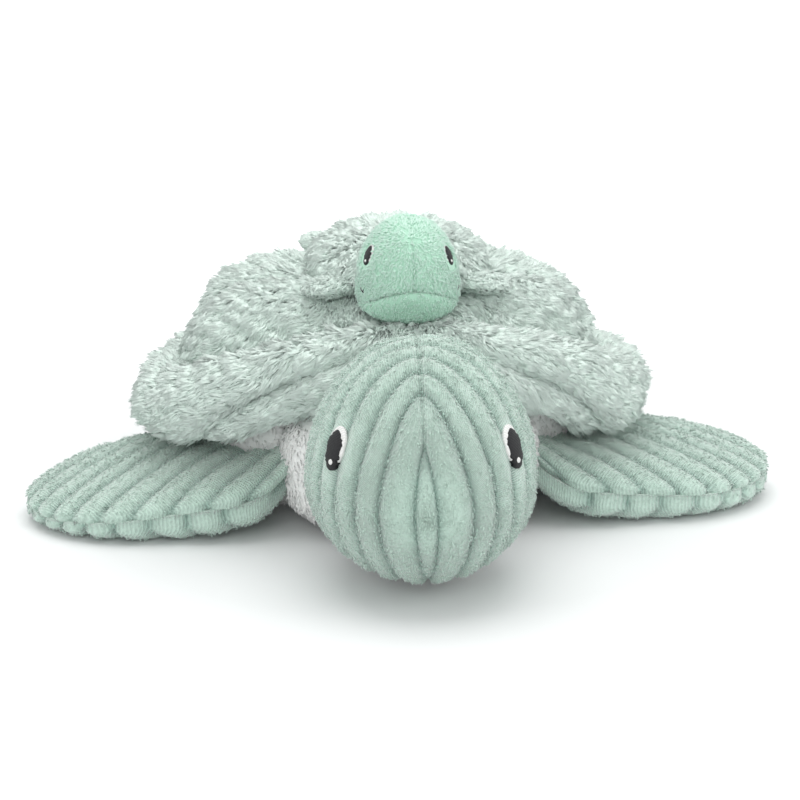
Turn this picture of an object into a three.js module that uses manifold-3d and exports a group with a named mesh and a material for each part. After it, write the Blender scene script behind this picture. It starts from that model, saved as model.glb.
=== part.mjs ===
// A plush sea turtle lying on its belly, with a baby turtle on its shell.
// Millimetres, +Z up. The turtle faces -Y and its own left side is +X.
// The origin is on the floor, under the middle of the belly.

import * as THREE from 'three';
import { mergeVertices } from 'three/addons/utils/BufferGeometryUtils.js';
import Module from 'manifold-3d';

const kernel = await Module();
kernel.setup();

// Cloth and clearances.
const CLOTH = 2.4;
const SEAM = 0.35;
const FIT = 0.8;

// The shell in plan: a wide egg, measured from its middle.
const SHELL = { halfWidth: 121, front: 86, rear: 127, middleY: 8 };
const RIM = { halfWidth: 18, frontHalfWidth: 15, halfHeight: 16.5, frontHalfHeight: 17 };
const RIM_LEVEL = { side: 51, front: 84, rear: 46, frontPower: 1.8 };
const DOME = { inset: 22, top: 111, dip: 3.5, creaseDepth: 4, creaseWidth: 9, sidePower: 0.25, endPower: 0.5 };
const DOME_ROWS = [0, 0.01, 0.04, 0.1, 0.2, 0.34, 0.5, 0.68, 0.84, 1, 2];
const DOME_CREASES = [0, 90, -90, 150, -150];

// The underside.
const BELLY = { inset: 33, flat: 0.6, belowRim: 12 };
const CHEST = { centre: [0, -26, 31.5], radii: [60, 44, 32], power: 3.2 };

// Head and neck.
const HEAD = { centre: [0, -105, 47], radii: [50, 58, 62], below: 44, turn: -5 };
const HEAD_RIBS = 7;
const HEAD_CLOTH = 4.6;
const GROOVE = 2.6;
const NECK = { pivot: [0, -68, 40], radii: [34, 34, 25], power: 2.3 };
const NOD = [0, 8];
const HEAD_CONE = 67;
const JAW = { level: -3, fromY: -150, slope: 0.35 };
const EYE = { direction: [0.756, -0.545, 0.363], yaw: 0, halfWidth: 5.2, halfHeight: 8.8 };

// Flippers: an ellipse in plan, ribbed across, thinner towards the tip and hanging almost to the floor.
const FLOOR_GAP = 0.7;
const SWELL = { top: 0.4, bottom: 0.25 };
const FRONT_FLIPPER = {
  centre: [117, -10],
  radii: [61, 46],
  turn: 0,
  pivot: [80, -12],
  reach: 98,
  ribAngle: -42,
  ribs: 8,
  level: [22, 8.6],
  tilt: 3.4,
  corner: 0.19,
  halfHeight: [13, 9.5],
  below: 14.7,
  groove: 2.2,
};
const REAR_FLIPPER = {
  centre: [70, 112],
  radii: [42, 25],
  turn: 50,
  pivot: [52, 92],
  reach: 62,
  ribAngle: 20,
  ribs: 4,
  level: [16, 7.5],
  tilt: 0,
  corner: 0,
  halfHeight: [9, 6],
  below: 9,
  groove: 1.8,
};
// Hollows in the body that the roots swing in.
const ROOT_POWER = 3.6;
const FRONT_ROOT = { centre: [80, -11, 20.5], radii: [35, 50, 16.5] };
const REAR_ROOT = { centre: [50, 90, 14], radii: [20, 20, 13] };
const TAIL_ROOT = { centre: [0, 104, 18], radii: [17, 14, 12] };
const TAIL = { start: [0, 98, 18], end: [0, 152, 10], halfWidth: 14, halfHeight: 10 };

// The baby turtle.
const BABY_HEAD = { centre: [-2, -46, 119], radii: [22.5, 26, 29], below: 19, jowl: 0.18 };
const BABY_NECK = [-2, -24, 122];
const BABY_NOD = [0, 8, 15];
const BABY_MOUTH_LEVEL = 119.5;
const BABY_SHELL = { centre: [0, 12], halfWidth: 42, halfLength: 50, edge: 118, rise: 12, belly: 7 };
const BABY_EYE = { direction: [0.8, -0.38, 0.475], yaw: -6, halfWidth: 3, halfHeight: 4.6 };
const BABY_STITCH = { direction: [0.93, -0.34, -0.13], size: [2.4, 0.6], lift: 1.4, tilt: 25, depth: 0.9 };
const BABY_FRONT_FLIPPER = { centre: [34, -23, 114.5], radii: [14, 9.5, 4.5], turn: -35 };
const BABY_REAR_FLIPPER = { centre: [31, 54, 114.5], radii: [13, 8.5, 4.5], turn: 50 };
const BABY_ROOT_GAP = 3;
const PAD_RADIUS = 18;
const PAD_LEVEL = 109;

// Colours of the cloths.
const SHELL_FUR = 0xc0cfc9;
const SAGE_CORD = 0x9fb9ae;
const WHITE_FUR = 0xeef0ee;
const MINT_VELOUR = 0x86c9aa;
const BLACK_THREAD = 0x1b1c20;
const WHITE_THREAD = 0xf4f4f2;
const FIBRE = 0xf3f1ec;
const PAD_CLOTH = 0xdfe4e1;

const rad = THREE.MathUtils.degToRad;
const turtle = new THREE.Group();
turtle.name = 'plush_turtle';

// Solids

function solidFrom(corners, faces) {
  const spread = ([a, b, c]) => corners[a].dot(corners[b].clone().cross(corners[c]));
  const volume = faces.reduce((sum, face) => sum + spread(face), 0);
  const outward = volume > 0 ? faces : faces.map(([a, b, c]) => [a, c, b]);
  return new kernel.Manifold(new kernel.Mesh({
    numProp: 3,
    vertProperties: new Float32Array(corners.flatMap((corner) => corner.toArray())),
    triVerts: new Uint32Array(outward.flat()),
  }));
}

// point(u, row) goes once round in u; the first and last rows are single points.
function closedSkin(point, around, rows) {
  const corners = [point(0, rows[0])];
  const rings = rows.slice(1, -1);
  for (const row of rings) {
    for (let i = 0; i < around; i++) corners.push(point(i / around, row));
  }
  corners.push(point(0, rows.at(-1)));
  const end = corners.length - 1;
  const lastRing = 1 + (rings.length - 1) * around;
  const faces = [];
  for (let i = 0; i < around; i++) {
    const next = (i + 1) % around;
    faces.push([0, 1 + next, 1 + i]);
    for (let a = 1; a < lastRing; a += around) {
      const b = a + around;
      faces.push([a + i, a + next, b + next]);
      faces.push([a + i, b + next, b + i]);
    }
    faces.push([end, lastRing + i, lastRing + next]);
  }
  return solidFrom(corners, faces);
}

// point(u, v) goes round in both, so that the skin closes like a tyre.
function ringSkin(point, around, section) {
  const corners = [];
  const faces = [];
  for (let i = 0; i < around; i++) {
    for (let j = 0; j < section; j++) corners.push(point(i / around, j));
  }
  for (let i = 0; i < around; i++) {
    const a = i * section;
    const b = ((i + 1) % around) * section;
    for (let j = 0; j < section; j++) {
      const next = (j + 1) % section;
      faces.push([a + j, a + next, b + next]);
      faces.push([a + j, b + next, b + j]);
    }
  }
  return solidFrom(corners, faces);
}

function steps(count, start = 0, end = 1) {
  return Array.from({ length: count + 1 }, (_, i) => start + ((end - start) * i) / count);
}

function solidOf(geometry) {
  geometry.deleteAttribute('normal');
  geometry.deleteAttribute('uv');
  const merged = mergeVertices(geometry, 1e-4);
  return new kernel.Manifold(new kernel.Mesh({
    numProp: 3,
    vertProperties: merged.attributes.position.array,
    triVerts: new Uint32Array(merged.index.array),
  }));
}

function block(low, high) {
  const size = high.map((value, axis) => value - low[axis]);
  const middle = high.map((value, axis) => (value + low[axis]) / 2);
  return solidOf(new THREE.BoxGeometry(...size).translate(...middle));
}

// The space between two slanting planes, given as heights over x and y.
function layer(floorAt, roofAt, reach = 260) {
  const corners = [];
  for (const heightAt of [floorAt, roofAt]) {
    for (const [x, y] of [[-1, -1], [1, -1], [1, 1], [-1, 1]]) {
      corners.push(new THREE.Vector3(x * reach, y * reach, heightAt(x * reach, y * reach)));
    }
  }
  const faces = [[0, 2, 1], [0, 3, 2], [4, 5, 6], [4, 6, 7]];
  for (let i = 0; i < 4; i++) {
    const next = (i + 1) % 4;
    faces.push([i, next, next + 4]);
    faces.push([i, next + 4, i + 4]);
  }
  return solidFrom(corners, faces);
}

function above(heightAt) {
  return layer(heightAt, (x, y) => heightAt(x, y) + 400);
}

function below(heightAt) {
  return layer((x, y) => heightAt(x, y) - 400, heightAt);
}

function bulge(value, power) {
  return Math.sign(value) * Math.abs(value) ** (2 / power);
}

// A blown-up box: power 2 is an ellipsoid, more is squarer.
function pillow(centre, radii, power = 2, around = 24, along = 12) {
  return closedSkin((u, v) => {
    const lean = Math.PI * v;
    const turn = 2 * Math.PI * u;
    return new THREE.Vector3(
      centre[0] + radii[0] * bulge(Math.sin(lean), power) * bulge(Math.cos(turn), power),
      centre[1] + radii[1] * bulge(Math.sin(lean), power) * bulge(Math.sin(turn), power),
      centre[2] - radii[2] * bulge(Math.cos(lean), power),
    );
  }, around, steps(along));
}

function grown(radii, grow) {
  return radii.map((radius) => radius + grow);
}

function union(solids) {
  return solids.reduce((whole, solid) => whole.add(solid));
}

function without(solid, cutters) {
  return cutters.reduce((rest, cutter) => rest.subtract(cutter), solid);
}

function mainPart(solid) {
  return solid.decompose().reduce((best, part) => (part.volume() > best.volume() ? part : best));
}

function addPiece(name, solid, colour, roughness = 0.95, turn = 0) {
  const cut = mainPart(solid).getMesh();
  const geometry = new THREE.BufferGeometry();
  geometry.setAttribute('position', new THREE.BufferAttribute(new Float32Array(cut.vertProperties), 3));
  geometry.setIndex(new THREE.BufferAttribute(new Uint32Array(cut.triVerts), 1));
  geometry.translate(-NECK.pivot[0], -NECK.pivot[1], 0).rotateZ(rad(turn));
  geometry.translate(NECK.pivot[0], NECK.pivot[1], 0).computeVertexNormals();
  const material = new THREE.MeshStandardMaterial({ color: colour, roughness, metalness: 0 });
  const piece = new THREE.Mesh(geometry, material);
  piece.name = name;
  turtle.add(piece);
}

// Shell: rim and dome

function planPoint(angle, inset) {
  const reach = (Math.cos(angle) > 0 ? SHELL.front : SHELL.rear) - inset;
  const x = (SHELL.halfWidth - inset) * Math.sin(angle);
  return [x, SHELL.middleY - reach * Math.cos(angle)];
}

function rimLevel(angle) {
  const front = Math.max(0, Math.cos(angle)) ** RIM_LEVEL.frontPower;
  const rear = Math.max(0, -Math.cos(angle));
  return RIM_LEVEL.side + (RIM_LEVEL.front - RIM_LEVEL.side) * front + (RIM_LEVEL.rear - RIM_LEVEL.side) * rear;
}

function rimPoint(angle, lean, shrink) {
  const front = Math.max(0, Math.cos(angle)) ** 2;
  const halfWidth = RIM.halfWidth + (RIM.frontHalfWidth - RIM.halfWidth) * front - shrink;
  const halfHeight = RIM.halfHeight + (RIM.frontHalfHeight - RIM.halfHeight) * front - shrink;
  const [x, y] = planPoint(angle, RIM.halfWidth - halfWidth * Math.cos(lean));
  return new THREE.Vector3(x, y, rimLevel(angle) + halfHeight * Math.sin(lean));
}

function rimTube(shrink, around = 30, section = 14) {
  return ringSkin((u, j) => rimPoint(2 * Math.PI * u, (2 * Math.PI * j) / section, shrink), around, section);
}

// The cover wraps the rim and is open on the side that is sewn to the body.
function rimCover() {
  const outer = steps(7, -138, 138).map((lean) => [lean, 0]);
  const inner = steps(5, 138, -138).map((lean) => [lean, CLOTH]);
  const section = [...outer, ...inner];
  return ringSkin((u, j) => rimPoint(2 * Math.PI * u, rad(section[j][0]), section[j][1]), 30, section.length);
}

function rimFilling() {
  const leans = [...steps(5, -138, 138), 180];
  const shrink = CLOTH + 2 * SEAM;
  return ringSkin((u, j) => rimPoint(2 * Math.PI * u, rad(leans[j]), shrink), 30, leans.length);
}

function distanceToCrease(x, y, degrees) {
  const angle = rad(degrees);
  const along = x * Math.sin(angle) - (y - SHELL.middleY) * Math.cos(angle);
  const across = x * Math.cos(angle) + (y - SHELL.middleY) * Math.sin(angle);
  return along > 0 ? Math.abs(across) : Math.hypot(x, y - SHELL.middleY);
}

function domeTop(x, y) {
  const dip = DOME.dip * Math.exp(-((x / 38) ** 2) - ((y - 8) / 48) ** 2);
  const front = 0.0095 * Math.min(0, y + 5) ** 2;
  const rear = 0.004 * Math.max(0, y - 40) ** 2;
  const near = Math.min(...DOME_CREASES.map((crease) => distanceToCrease(x, y, crease)));
  const crease = DOME.creaseDepth * Math.exp(-((near / DOME.creaseWidth) ** 2));
  return DOME.top - dip - front - rear - crease * Math.min(1, Math.hypot(x, y - SHELL.middleY) / 50);
}

// Rows 0 to 1 go from the top to the edge, and 1 to 2 close the underside.
function domePoint(u, row, shrink, drop) {
  const angle = 2 * Math.PI * u;
  const rest = rimLevel(angle);
  const power = DOME.endPower + (DOME.sidePower - DOME.endPower) * Math.sin(angle) ** 2;
  const spread = row < 1 ? Math.sin((Math.PI / 2) * row) ** power : 2 - row;
  const edge = planPoint(angle, DOME.inset + shrink);
  const x = edge[0] * spread;
  const y = SHELL.middleY + (edge[1] - SHELL.middleY) * spread;
  if (row >= 1) return new THREE.Vector3(x, y, rest * spread + 60 * (1 - spread) - drop);
  const rise = Math.cos((Math.PI / 2) * row);
  return new THREE.Vector3(x, y, rest + (domeTop(x, y) - shrink - rest) * rise - drop * (1 - rise));
}

function domeBlob(shrink, drop = 0, around = 30, rows = DOME_ROWS) {
  return closedSkin((u, row) => domePoint(u, row, shrink, drop), around, rows);
}

function domeWall(grow) {
  return domeBlob(-grow).subtract(domeBlob(CLOTH + grow, 4));
}

// Belly and chest

function bellyPoint(u, row, shrink, lift) {
  const angle = 2 * Math.PI * u;
  const edge = planPoint(angle, BELLY.inset + shrink);
  const high = rimLevel(angle) - BELLY.belowRim;
  const lean = (Math.PI / 2) * Math.min(1, Math.max(0, row - 1));
  let spread = BELLY.flat + (1 - BELLY.flat) * Math.sin(lean);
  let z = shrink + (high - shrink) * (1 - Math.cos(lean));
  if (row < 1) spread = BELLY.flat * row;
  if (row > 2) {
    spread = 3 - row;
    z = high * spread + 60 * (1 - spread);
  }
  const y = SHELL.middleY + (edge[1] - SHELL.middleY) * spread;
  return new THREE.Vector3(edge[0] * spread, y, z + (row >= 2 ? lift : 0));
}

function bellyBlob(shrink, lift = 0) {
  const rows = [0, 1, 1.45, 1.8, 2, 3];
  const bowl = closedSkin((u, row) => bellyPoint(u, row, shrink, lift), 20, rows);
  const chest = pillow(CHEST.centre, grown(CHEST.radii, -shrink), CHEST.power, 14, 8);
  return bowl.add(chest).intersect(above(() => Math.max(0, shrink)));
}

function bellyWall(grow) {
  return bellyBlob(-grow).subtract(bellyBlob(CLOTH + grow, 5));
}

// Head

// Ribs run as long rings about the nose: spaced by the pitch at the sides,
// further apart over the forehead and under the chin.
function ribAngle(rib, turn) {
  const side = 6.5 + 18.5 * Math.min(rib, 1) + 13 * Math.max(rib - 1, 0);
  const up = 28 + 25 * Math.min(rib, 1) + 10.5 * Math.max(rib - 1, 0);
  const down = 58 + 30 * Math.min(rib, 1) + 11 * Math.max(rib - 1, 0);
  const far = Math.sin(turn) > 0 ? up : down;
  return 1 / Math.hypot(Math.cos(turn) / side, Math.sin(turn) / far);
}

function headPoint(u, rib, grow) {
  const turn = 2 * Math.PI * u;
  const last = ribAngle(HEAD_RIBS, turn);
  let lean = 0;
  if (rib >= 0) lean = ribAngle(Math.min(rib, HEAD_RIBS), turn);
  if (rib > HEAD_RIBS) lean = last + (180 - last) * (rib - HEAD_RIBS);
  const isGroove = rib >= 0 && rib <= HEAD_RIBS && Math.abs(rib - Math.round(rib)) < 0.01;
  return onHead(lean, turn, grow - (isGroove ? GROOVE : 0));
}

// An egg: taller over its middle than under it.
function onHead(lean, turn, grow) {
  const radii = grown(HEAD.radii, grow);
  const height = Math.sin(turn) > 0 ? radii[2] : HEAD.below + grow;
  return new THREE.Vector3(
    HEAD.centre[0] + radii[0] * Math.sin(rad(lean)) * Math.cos(turn),
    HEAD.centre[1] - radii[1] * Math.cos(rad(lean)),
    HEAD.centre[2] + height * Math.sin(rad(lean)) * Math.sin(turn),
  );
}

function ribbedHead() {
  const rows = [-1, ...steps(HEAD_RIBS * 2, 0, HEAD_RIBS), HEAD_RIBS + 0.5, HEAD_RIBS + 1];
  return closedSkin((u, rib) => headPoint(u, rib, 0), 24, rows);
}

function smoothHead(grow) {
  return closedSkin((u, v) => onHead(180 * v, 2 * Math.PI * u, grow), 18, steps(9));
}

function cone(pivot, halfAngle, length = 140) {
  const radius = length * Math.tan(rad(halfAngle));
  const geometry = new THREE.ConeGeometry(radius, length, 24);
  return solidOf(geometry.translate(pivot[0], pivot[1] - length / 2, pivot[2]));
}

// The neck is round about the upright axis that the head turns on.
function neckBarrel(grow, nod = 0) {
  const [x, y, z] = NECK.pivot;
  const radii = grown(NECK.radii, grow);
  const angle = rad(nod);
  return closedSkin((u, v) => {
    const lean = Math.PI * v;
    const turn = 2 * Math.PI * u;
    const spread = bulge(Math.sin(lean), NECK.power);
    const across = radii[1] * spread * Math.sin(turn);
    const high = -radii[2] * bulge(Math.cos(lean), NECK.power);
    return new THREE.Vector3(
      x + radii[0] * spread * Math.cos(turn),
      y + across * Math.cos(angle) - high * Math.sin(angle),
      z + across * Math.sin(angle) + high * Math.cos(angle),
    );
  }, 20, steps(9));
}

function jawAt(x, y) {
  return JAW.level + (y - JAW.fromY) * JAW.slope;
}

// A thin oval laid on an ellipsoid, from a level under its surface to one over it.
function patch(form, direction, size, shift, tilt, levels) {
  const radii = new THREE.Vector3(...form.radii);
  const centre = new THREE.Vector3(...form.centre);
  const out = new THREE.Vector3(...direction).normalize();
  const foot = out.clone().multiply(radii).add(centre);
  const normal = out.clone().divide(radii).normalize();
  const up = new THREE.Vector3(0, 0, 1).addScaledVector(normal, -normal.z).normalize();
  up.applyAxisAngle(normal, rad(tilt));
  const across = up.clone().cross(normal);
  return closedSkin((u, row) => {
    const turn = 2 * Math.PI * u;
    const spread = row < 1 ? row : Math.min(1, 2 - row);
    const level = row <= 1 ? levels[1] : levels[0];
    const spot = foot.clone();
    spot.addScaledVector(across, shift[0] + size[0] * spread * Math.cos(turn));
    spot.addScaledVector(up, shift[1] + size[1] * spread * Math.sin(turn));
    const ray = spot.sub(centre).divide(radii).normalize();
    return ray.multiply(radii.clone().addScalar(level)).add(centre);
  }, 8, [0, 1, 1.0001, 2]);
}

function aside(direction, degrees) {
  return new THREE.Vector3(...direction).applyAxisAngle(new THREE.Vector3(0, 0, 1), rad(degrees)).toArray();
}

function mirrored(direction, side) {
  return [direction[0] * side, direction[1], direction[2]];
}

function addEye(prefix, form, eye, side, depth, turn = 0) {
  const direction = aside(mirrored(eye.direction, side), eye.yaw);
  const size = [eye.halfWidth, eye.halfHeight];
  const tilt = -6 * side;
  const levels = [-depth, 0.5];
  const lift = [-side * 0.2 * eye.halfWidth, 0.2 * eye.halfHeight];
  const glintSize = [eye.halfWidth * 0.28, eye.halfHeight * 0.14];
  const glintShift = [0, -0.55 * eye.halfHeight];
  const more = (part, extra) => part.map((value) => value + extra);
  const pupil = (extra) => patch(form, direction, more(size, extra), [0, 0], tilt, [-depth - extra, 0.5 + extra]);
  const glint = (extra) => patch(form, direction, more(glintSize, extra), glintShift, tilt,
    [-depth - 1 - extra, 0.5 + extra]);
  const white = patch(form, direction, more(size, 0.9), lift, tilt, levels);
  addPiece(`${prefix}_pupil`, pupil(0).subtract(glint(0.2)), BLACK_THREAD, 0.7, turn);
  addPiece(`${prefix}_white`, white.subtract(pupil(SEAM)), WHITE_THREAD, 0.8, turn);
  addPiece(`${prefix}_glint`, glint(0).intersect(pupil(0)), WHITE_THREAD, 0.8, turn);
  const pocket = patch(form, direction, more(size, 0.9 + SEAM), lift, tilt, [-depth - SEAM, 4]);
  return pocket.add(patch(form, direction, more(size, SEAM), [0, 0], tilt, [-depth - SEAM, 4]));
}

function addHead() {
  const sockets = [1, -1].map((side) => {
    const prefix = side > 0 ? 'eye_left' : 'eye_right';
    return addEye(prefix, HEAD, EYE, side, 1.6, HEAD.turn);
  });
  const keep = cone(NECK.pivot, HEAD_CONE);
  const shell = ribbedHead().subtract(smoothHead(-HEAD_CLOTH)).intersect(keep);
  const hollow = union(NOD.map((nod) => neckBarrel(FIT, nod)));
  const cover = without(shell, [hollow, ...sockets]);
  const upper = cover.intersect(above((x, y) => jawAt(x, y) + SEAM / 2));
  const left = upper.intersect(block([SEAM / 2, -260, -50], [200, 200, 200]));
  const right = upper.intersect(block([-200, -260, -50], [-SEAM / 2, 200, 200]));
  addPiece('head_left_panel', left, SAGE_CORD, 0.95, HEAD.turn);
  addPiece('head_right_panel', right, SAGE_CORD, 0.95, HEAD.turn);
  const chin = cover.intersect(below((x, y) => jawAt(x, y) - SEAM / 2));
  addPiece('chin_panel', chin, WHITE_FUR, 0.95, HEAD.turn);
  const stuffing = smoothHead(-HEAD_CLOTH - SEAM).intersect(keep);
  addPiece('head_stuffing', stuffing.subtract(hollow), FIBRE, 0.95, HEAD.turn);
  addPiece('neck', neckBarrel(0), WHITE_FUR);
}

// Flippers

function flipperBasis(spec) {
  const rib = rad(spec.ribAngle - spec.turn);
  const slant = Math.atan2(Math.sin(rib) / spec.radii[1], Math.cos(rib) / spec.radii[0]);
  return { along: [Math.cos(slant), Math.sin(slant)], across: [-Math.sin(slant), Math.cos(slant)] };
}

// How far a plan point is from the root, 0 at the pivot and 1 at the tip.
function flipperReach(spec, x, y) {
  const turn = rad(spec.turn);
  return ((x - spec.pivot[0]) * Math.cos(turn) + (y - spec.pivot[1]) * Math.sin(turn)) / spec.reach;
}

function flipperLevel(spec, x, y) {
  const tilt = (spec.tilt * (y - spec.centre[1])) / spec.radii[1];
  return spec.level[0] + (spec.level[1] - spec.level[0]) * flipperReach(spec, x, y) + tilt;
}

// The inner front corner of a flipper is fuller than an ellipse.
function cornerReach(spec, a, b) {
  if (a >= 0 || b >= 0) return 1;
  return 1 + spec.corner * ((2 * a * b) / (a * a + b * b)) ** 2;
}

function flipperPoint(spec, side, u, row, grow, ribbed) {
  const { along, across } = flipperBasis(spec);
  const rib = ((row + 1) / 2) * spec.ribs;
  const isGroove = ribbed && Math.abs(rib - Math.round(rib)) < 0.01 && Math.abs(row) < 0.99;
  const loop = 2 * Math.PI * u;
  const width = Math.sqrt(Math.max(0, 1 - row * row));
  const step = Math.cos(loop) * width * (isGroove ? 0.965 : 1);
  const disc = [row * across[0] + step * along[0], row * across[1] + step * along[1]];
  const fuller = cornerReach(spec, disc[0], disc[1]);
  const flatX = (spec.radii[0] + grow) * disc[0] * fuller;
  const flatY = (spec.radii[1] + grow) * disc[1] * fuller;
  const turn = rad(spec.turn);
  const x = spec.centre[0] + flatX * Math.cos(turn) - flatY * Math.sin(turn);
  const y = spec.centre[1] + flatX * Math.sin(turn) + flatY * Math.cos(turn);
  const reach = Math.max(0, Math.min(1, flipperReach(spec, x, y)));
  const seam = flipperLevel(spec, x, y);
  const over = spec.halfHeight[0] + (spec.halfHeight[1] - spec.halfHeight[0]) * reach;
  const isTop = Math.sin(loop) > 0;
  const most = grow + (isTop ? over : Math.min(spec.below, seam - FLOOR_GAP));
  const swell = Math.max(0, 1 - disc[0] ** 2 - disc[1] ** 2) ** (isTop ? SWELL.top : SWELL.bottom);
  const fold = isGroove ? spec.groove * swell ** 0.5 : 0;
  return new THREE.Vector3(side * x, y, seam + Math.sign(Math.sin(loop)) * Math.max(0, most * swell - fold));
}

function flipperSkin(spec, side, grow, ribbed = false) {
  const rows = steps(ribbed ? spec.ribs * 2 : spec.ribs, -1, 1);
  return closedSkin((u, row) => flipperPoint(spec, side, u, row, grow, ribbed), ribbed ? 14 : 10, rows);
}

function rootHollow(root, side = 1) {
  return pillow([side * root.centre[0], root.centre[1], root.centre[2]], root.radii, ROOT_POWER, 14, 8);
}

function addFlipper(prefix, spec, side) {
  const level = (offset) => (x, y) => flipperLevel(spec, side * x, y) + offset;
  const cover = flipperSkin(spec, side, 0, true).subtract(flipperSkin(spec, side, -CLOTH));
  addPiece(`${prefix}_top_panel`, cover.intersect(above(level(SEAM / 2))), SAGE_CORD);
  addPiece(`${prefix}_bottom_panel`, cover.intersect(below(level(-SEAM / 2))), SAGE_CORD);
  addPiece(`${prefix}_stuffing`, flipperSkin(spec, side, -CLOTH - SEAM), FIBRE);
}

// Tail

function tailSkin() {
  const start = new THREE.Vector3(...TAIL.start);
  const end = new THREE.Vector3(...TAIL.end);
  return closedSkin((u, v) => {
    const spot = start.clone().lerp(end, v);
    const swell = 1.55 * Math.sqrt(v) * (1 - v) ** 0.8;
    const turn = 2 * Math.PI * u;
    spot.x += TAIL.halfWidth * swell * Math.cos(turn);
    spot.z += TAIL.halfHeight * swell * Math.sin(turn);
    return spot;
  }, 10, steps(7));
}

// Torso

function addTorso() {
  const roots = [1, -1].flatMap((side) => [rootHollow(FRONT_ROOT, side), rootHollow(REAR_ROOT, side)]);
  const rim = rimTube(-FIT);
  const cutters = [rim, neckBarrel(2 * FIT), rootHollow(TAIL_ROOT), ...roots];
  addPiece('belly_panel', without(bellyWall(0), cutters), WHITE_FUR);
  addPiece('shell_dome_cover', without(domeWall(0), [rim, neckBarrel(2 * FIT)]), SHELL_FUR);
  const filling = domeBlob(CLOTH + SEAM).add(bellyBlob(CLOTH + SEAM));
  addPiece('body_stuffing', without(filling, [bellyWall(SEAM), domeWall(SEAM), ...cutters]), FIBRE);
  addPiece('shell_rim_cover', rimCover(), SHELL_FUR);
  addPiece('shell_rim_stuffing', rimFilling(), FIBRE);
  const pad = solidOf(new THREE.CylinderGeometry(PAD_RADIUS, PAD_RADIUS, 8, 24)
    .rotateX(Math.PI / 2).translate(0, 12, PAD_LEVEL - 4));
  addPiece('shell_loop_pad', pad.subtract(domeBlob(-SEAM)), PAD_CLOTH);
}

// Baby turtle

function babyBodyPoint(u, row, shrink) {
  const turn = 2 * Math.PI * u;
  const spread = Math.sin((Math.PI / 2) * row) ** (row < 1 ? 0.75 : 1);
  const rise = Math.cos((Math.PI / 2) * row);
  const x = BABY_SHELL.centre[0] + (BABY_SHELL.halfWidth - shrink) * spread * Math.sin(turn);
  const y = BABY_SHELL.centre[1] - (BABY_SHELL.halfLength - shrink) * spread * Math.cos(turn);
  const high = row < 1 ? BABY_SHELL.rise - shrink : BABY_SHELL.belly - shrink;
  return new THREE.Vector3(x, y, BABY_SHELL.edge + high * Math.sign(rise) * Math.abs(rise) ** (row < 1 ? 0.9 : 0.7));
}

function babyBody(shrink, around = 20) {
  const rows = [0, 0.2, 0.42, 0.65, 0.85, 1, 1.4, 2];
  return closedSkin((u, row) => babyBodyPoint(u, row, shrink), around, rows);
}

// The baby's head, tipped up about its neck.
function babyHead(grow, nod = 0) {
  const angle = rad(nod);
  const radii = grown(BABY_HEAD.radii, grow);
  return closedSkin((u, v) => {
    const lean = Math.PI * v;
    const turn = 2 * Math.PI * u;
    const low = Math.min(0, Math.sin(lean) * Math.sin(turn)) ** 2;
    const jowl = 1 + BABY_HEAD.jowl * 4 * low * (1 - low);
    const x = BABY_HEAD.centre[0] + radii[0] * jowl * Math.sin(lean) * Math.cos(turn);
    const y = BABY_HEAD.centre[1] - radii[1] * Math.cos(lean) - BABY_NECK[1];
    const high = Math.sin(turn) > 0 ? radii[2] : BABY_HEAD.below + grow;
    const z = BABY_HEAD.centre[2] + high * Math.sin(lean) * Math.sin(turn) - BABY_NECK[2];
    return new THREE.Vector3(
      x,
      BABY_NECK[1] + y * Math.cos(angle) + z * Math.sin(angle),
      BABY_NECK[2] - y * Math.sin(angle) + z * Math.cos(angle),
    );
  }, 18, steps(9));
}

function babyFlipper(spec, side) {
  const { radii } = spec;
  const own = rad(spec.turn);
  return closedSkin((u, v) => {
    const lean = Math.PI * v;
    const turn = 2 * Math.PI * u;
    const a = -radii[0] * Math.cos(lean);
    const b = radii[1] * Math.sin(lean) * Math.cos(turn);
    const x = spec.centre[0] + a * Math.cos(own) - b * Math.sin(own);
    const y = spec.centre[1] + a * Math.sin(own) + b * Math.cos(own);
    const z = spec.centre[2] + radii[2] * Math.sin(lean) * Math.sin(turn);
    return new THREE.Vector3(side * x, y, z);
  }, 10, steps(6));
}

function addBabyHead(ground) {
  const sockets = [1, -1].map((side) => {
    const prefix = side > 0 ? 'baby_eye_left' : 'baby_eye_right';
    return addEye(prefix, BABY_HEAD, BABY_EYE, side, 0.9);
  });
  const stitches = [1, -1].map((side) => {
    const name = side > 0 ? 'baby_mouth_stitch_left' : 'baby_mouth_stitch_right';
    const size = (extra) => BABY_STITCH.size.map((half) => half + extra);
    const stitch = (extra) => patch(BABY_HEAD, mirrored(BABY_STITCH.direction, side), size(extra),
      [0, BABY_STITCH.lift], BABY_STITCH.tilt * side, [-BABY_STITCH.depth - extra, 0.4 + extra * 5]);
    addPiece(name, stitch(0), BLACK_THREAD, 0.7);
    return stitch(SEAM);
  });
  const cover = without(babyHead(0).subtract(babyHead(-2)), [...sockets, ...stitches, ...ground]);
  const rear = block([-60, -27, 60], [60, 60, 200]);
  const open = cover.subtract(rear);
  const upper = open.intersect(above(() => BABY_MOUTH_LEVEL + SEAM / 2));
  const seam = BABY_HEAD.centre[0];
  addPiece('baby_head_left_panel', upper.intersect(block([seam + SEAM / 2, -100, 90], [60, 60, 170])), MINT_VELOUR);
  addPiece('baby_head_right_panel', upper.intersect(block([-60, -100, 90], [seam - SEAM / 2, 60, 170])), MINT_VELOUR);
  addPiece('baby_chin_panel', open.intersect(below(() => BABY_MOUTH_LEVEL - SEAM / 2)), MINT_VELOUR);
  addPiece('baby_head_stuffing', without(babyHead(-2 - SEAM), ground), FIBRE);
}

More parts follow.
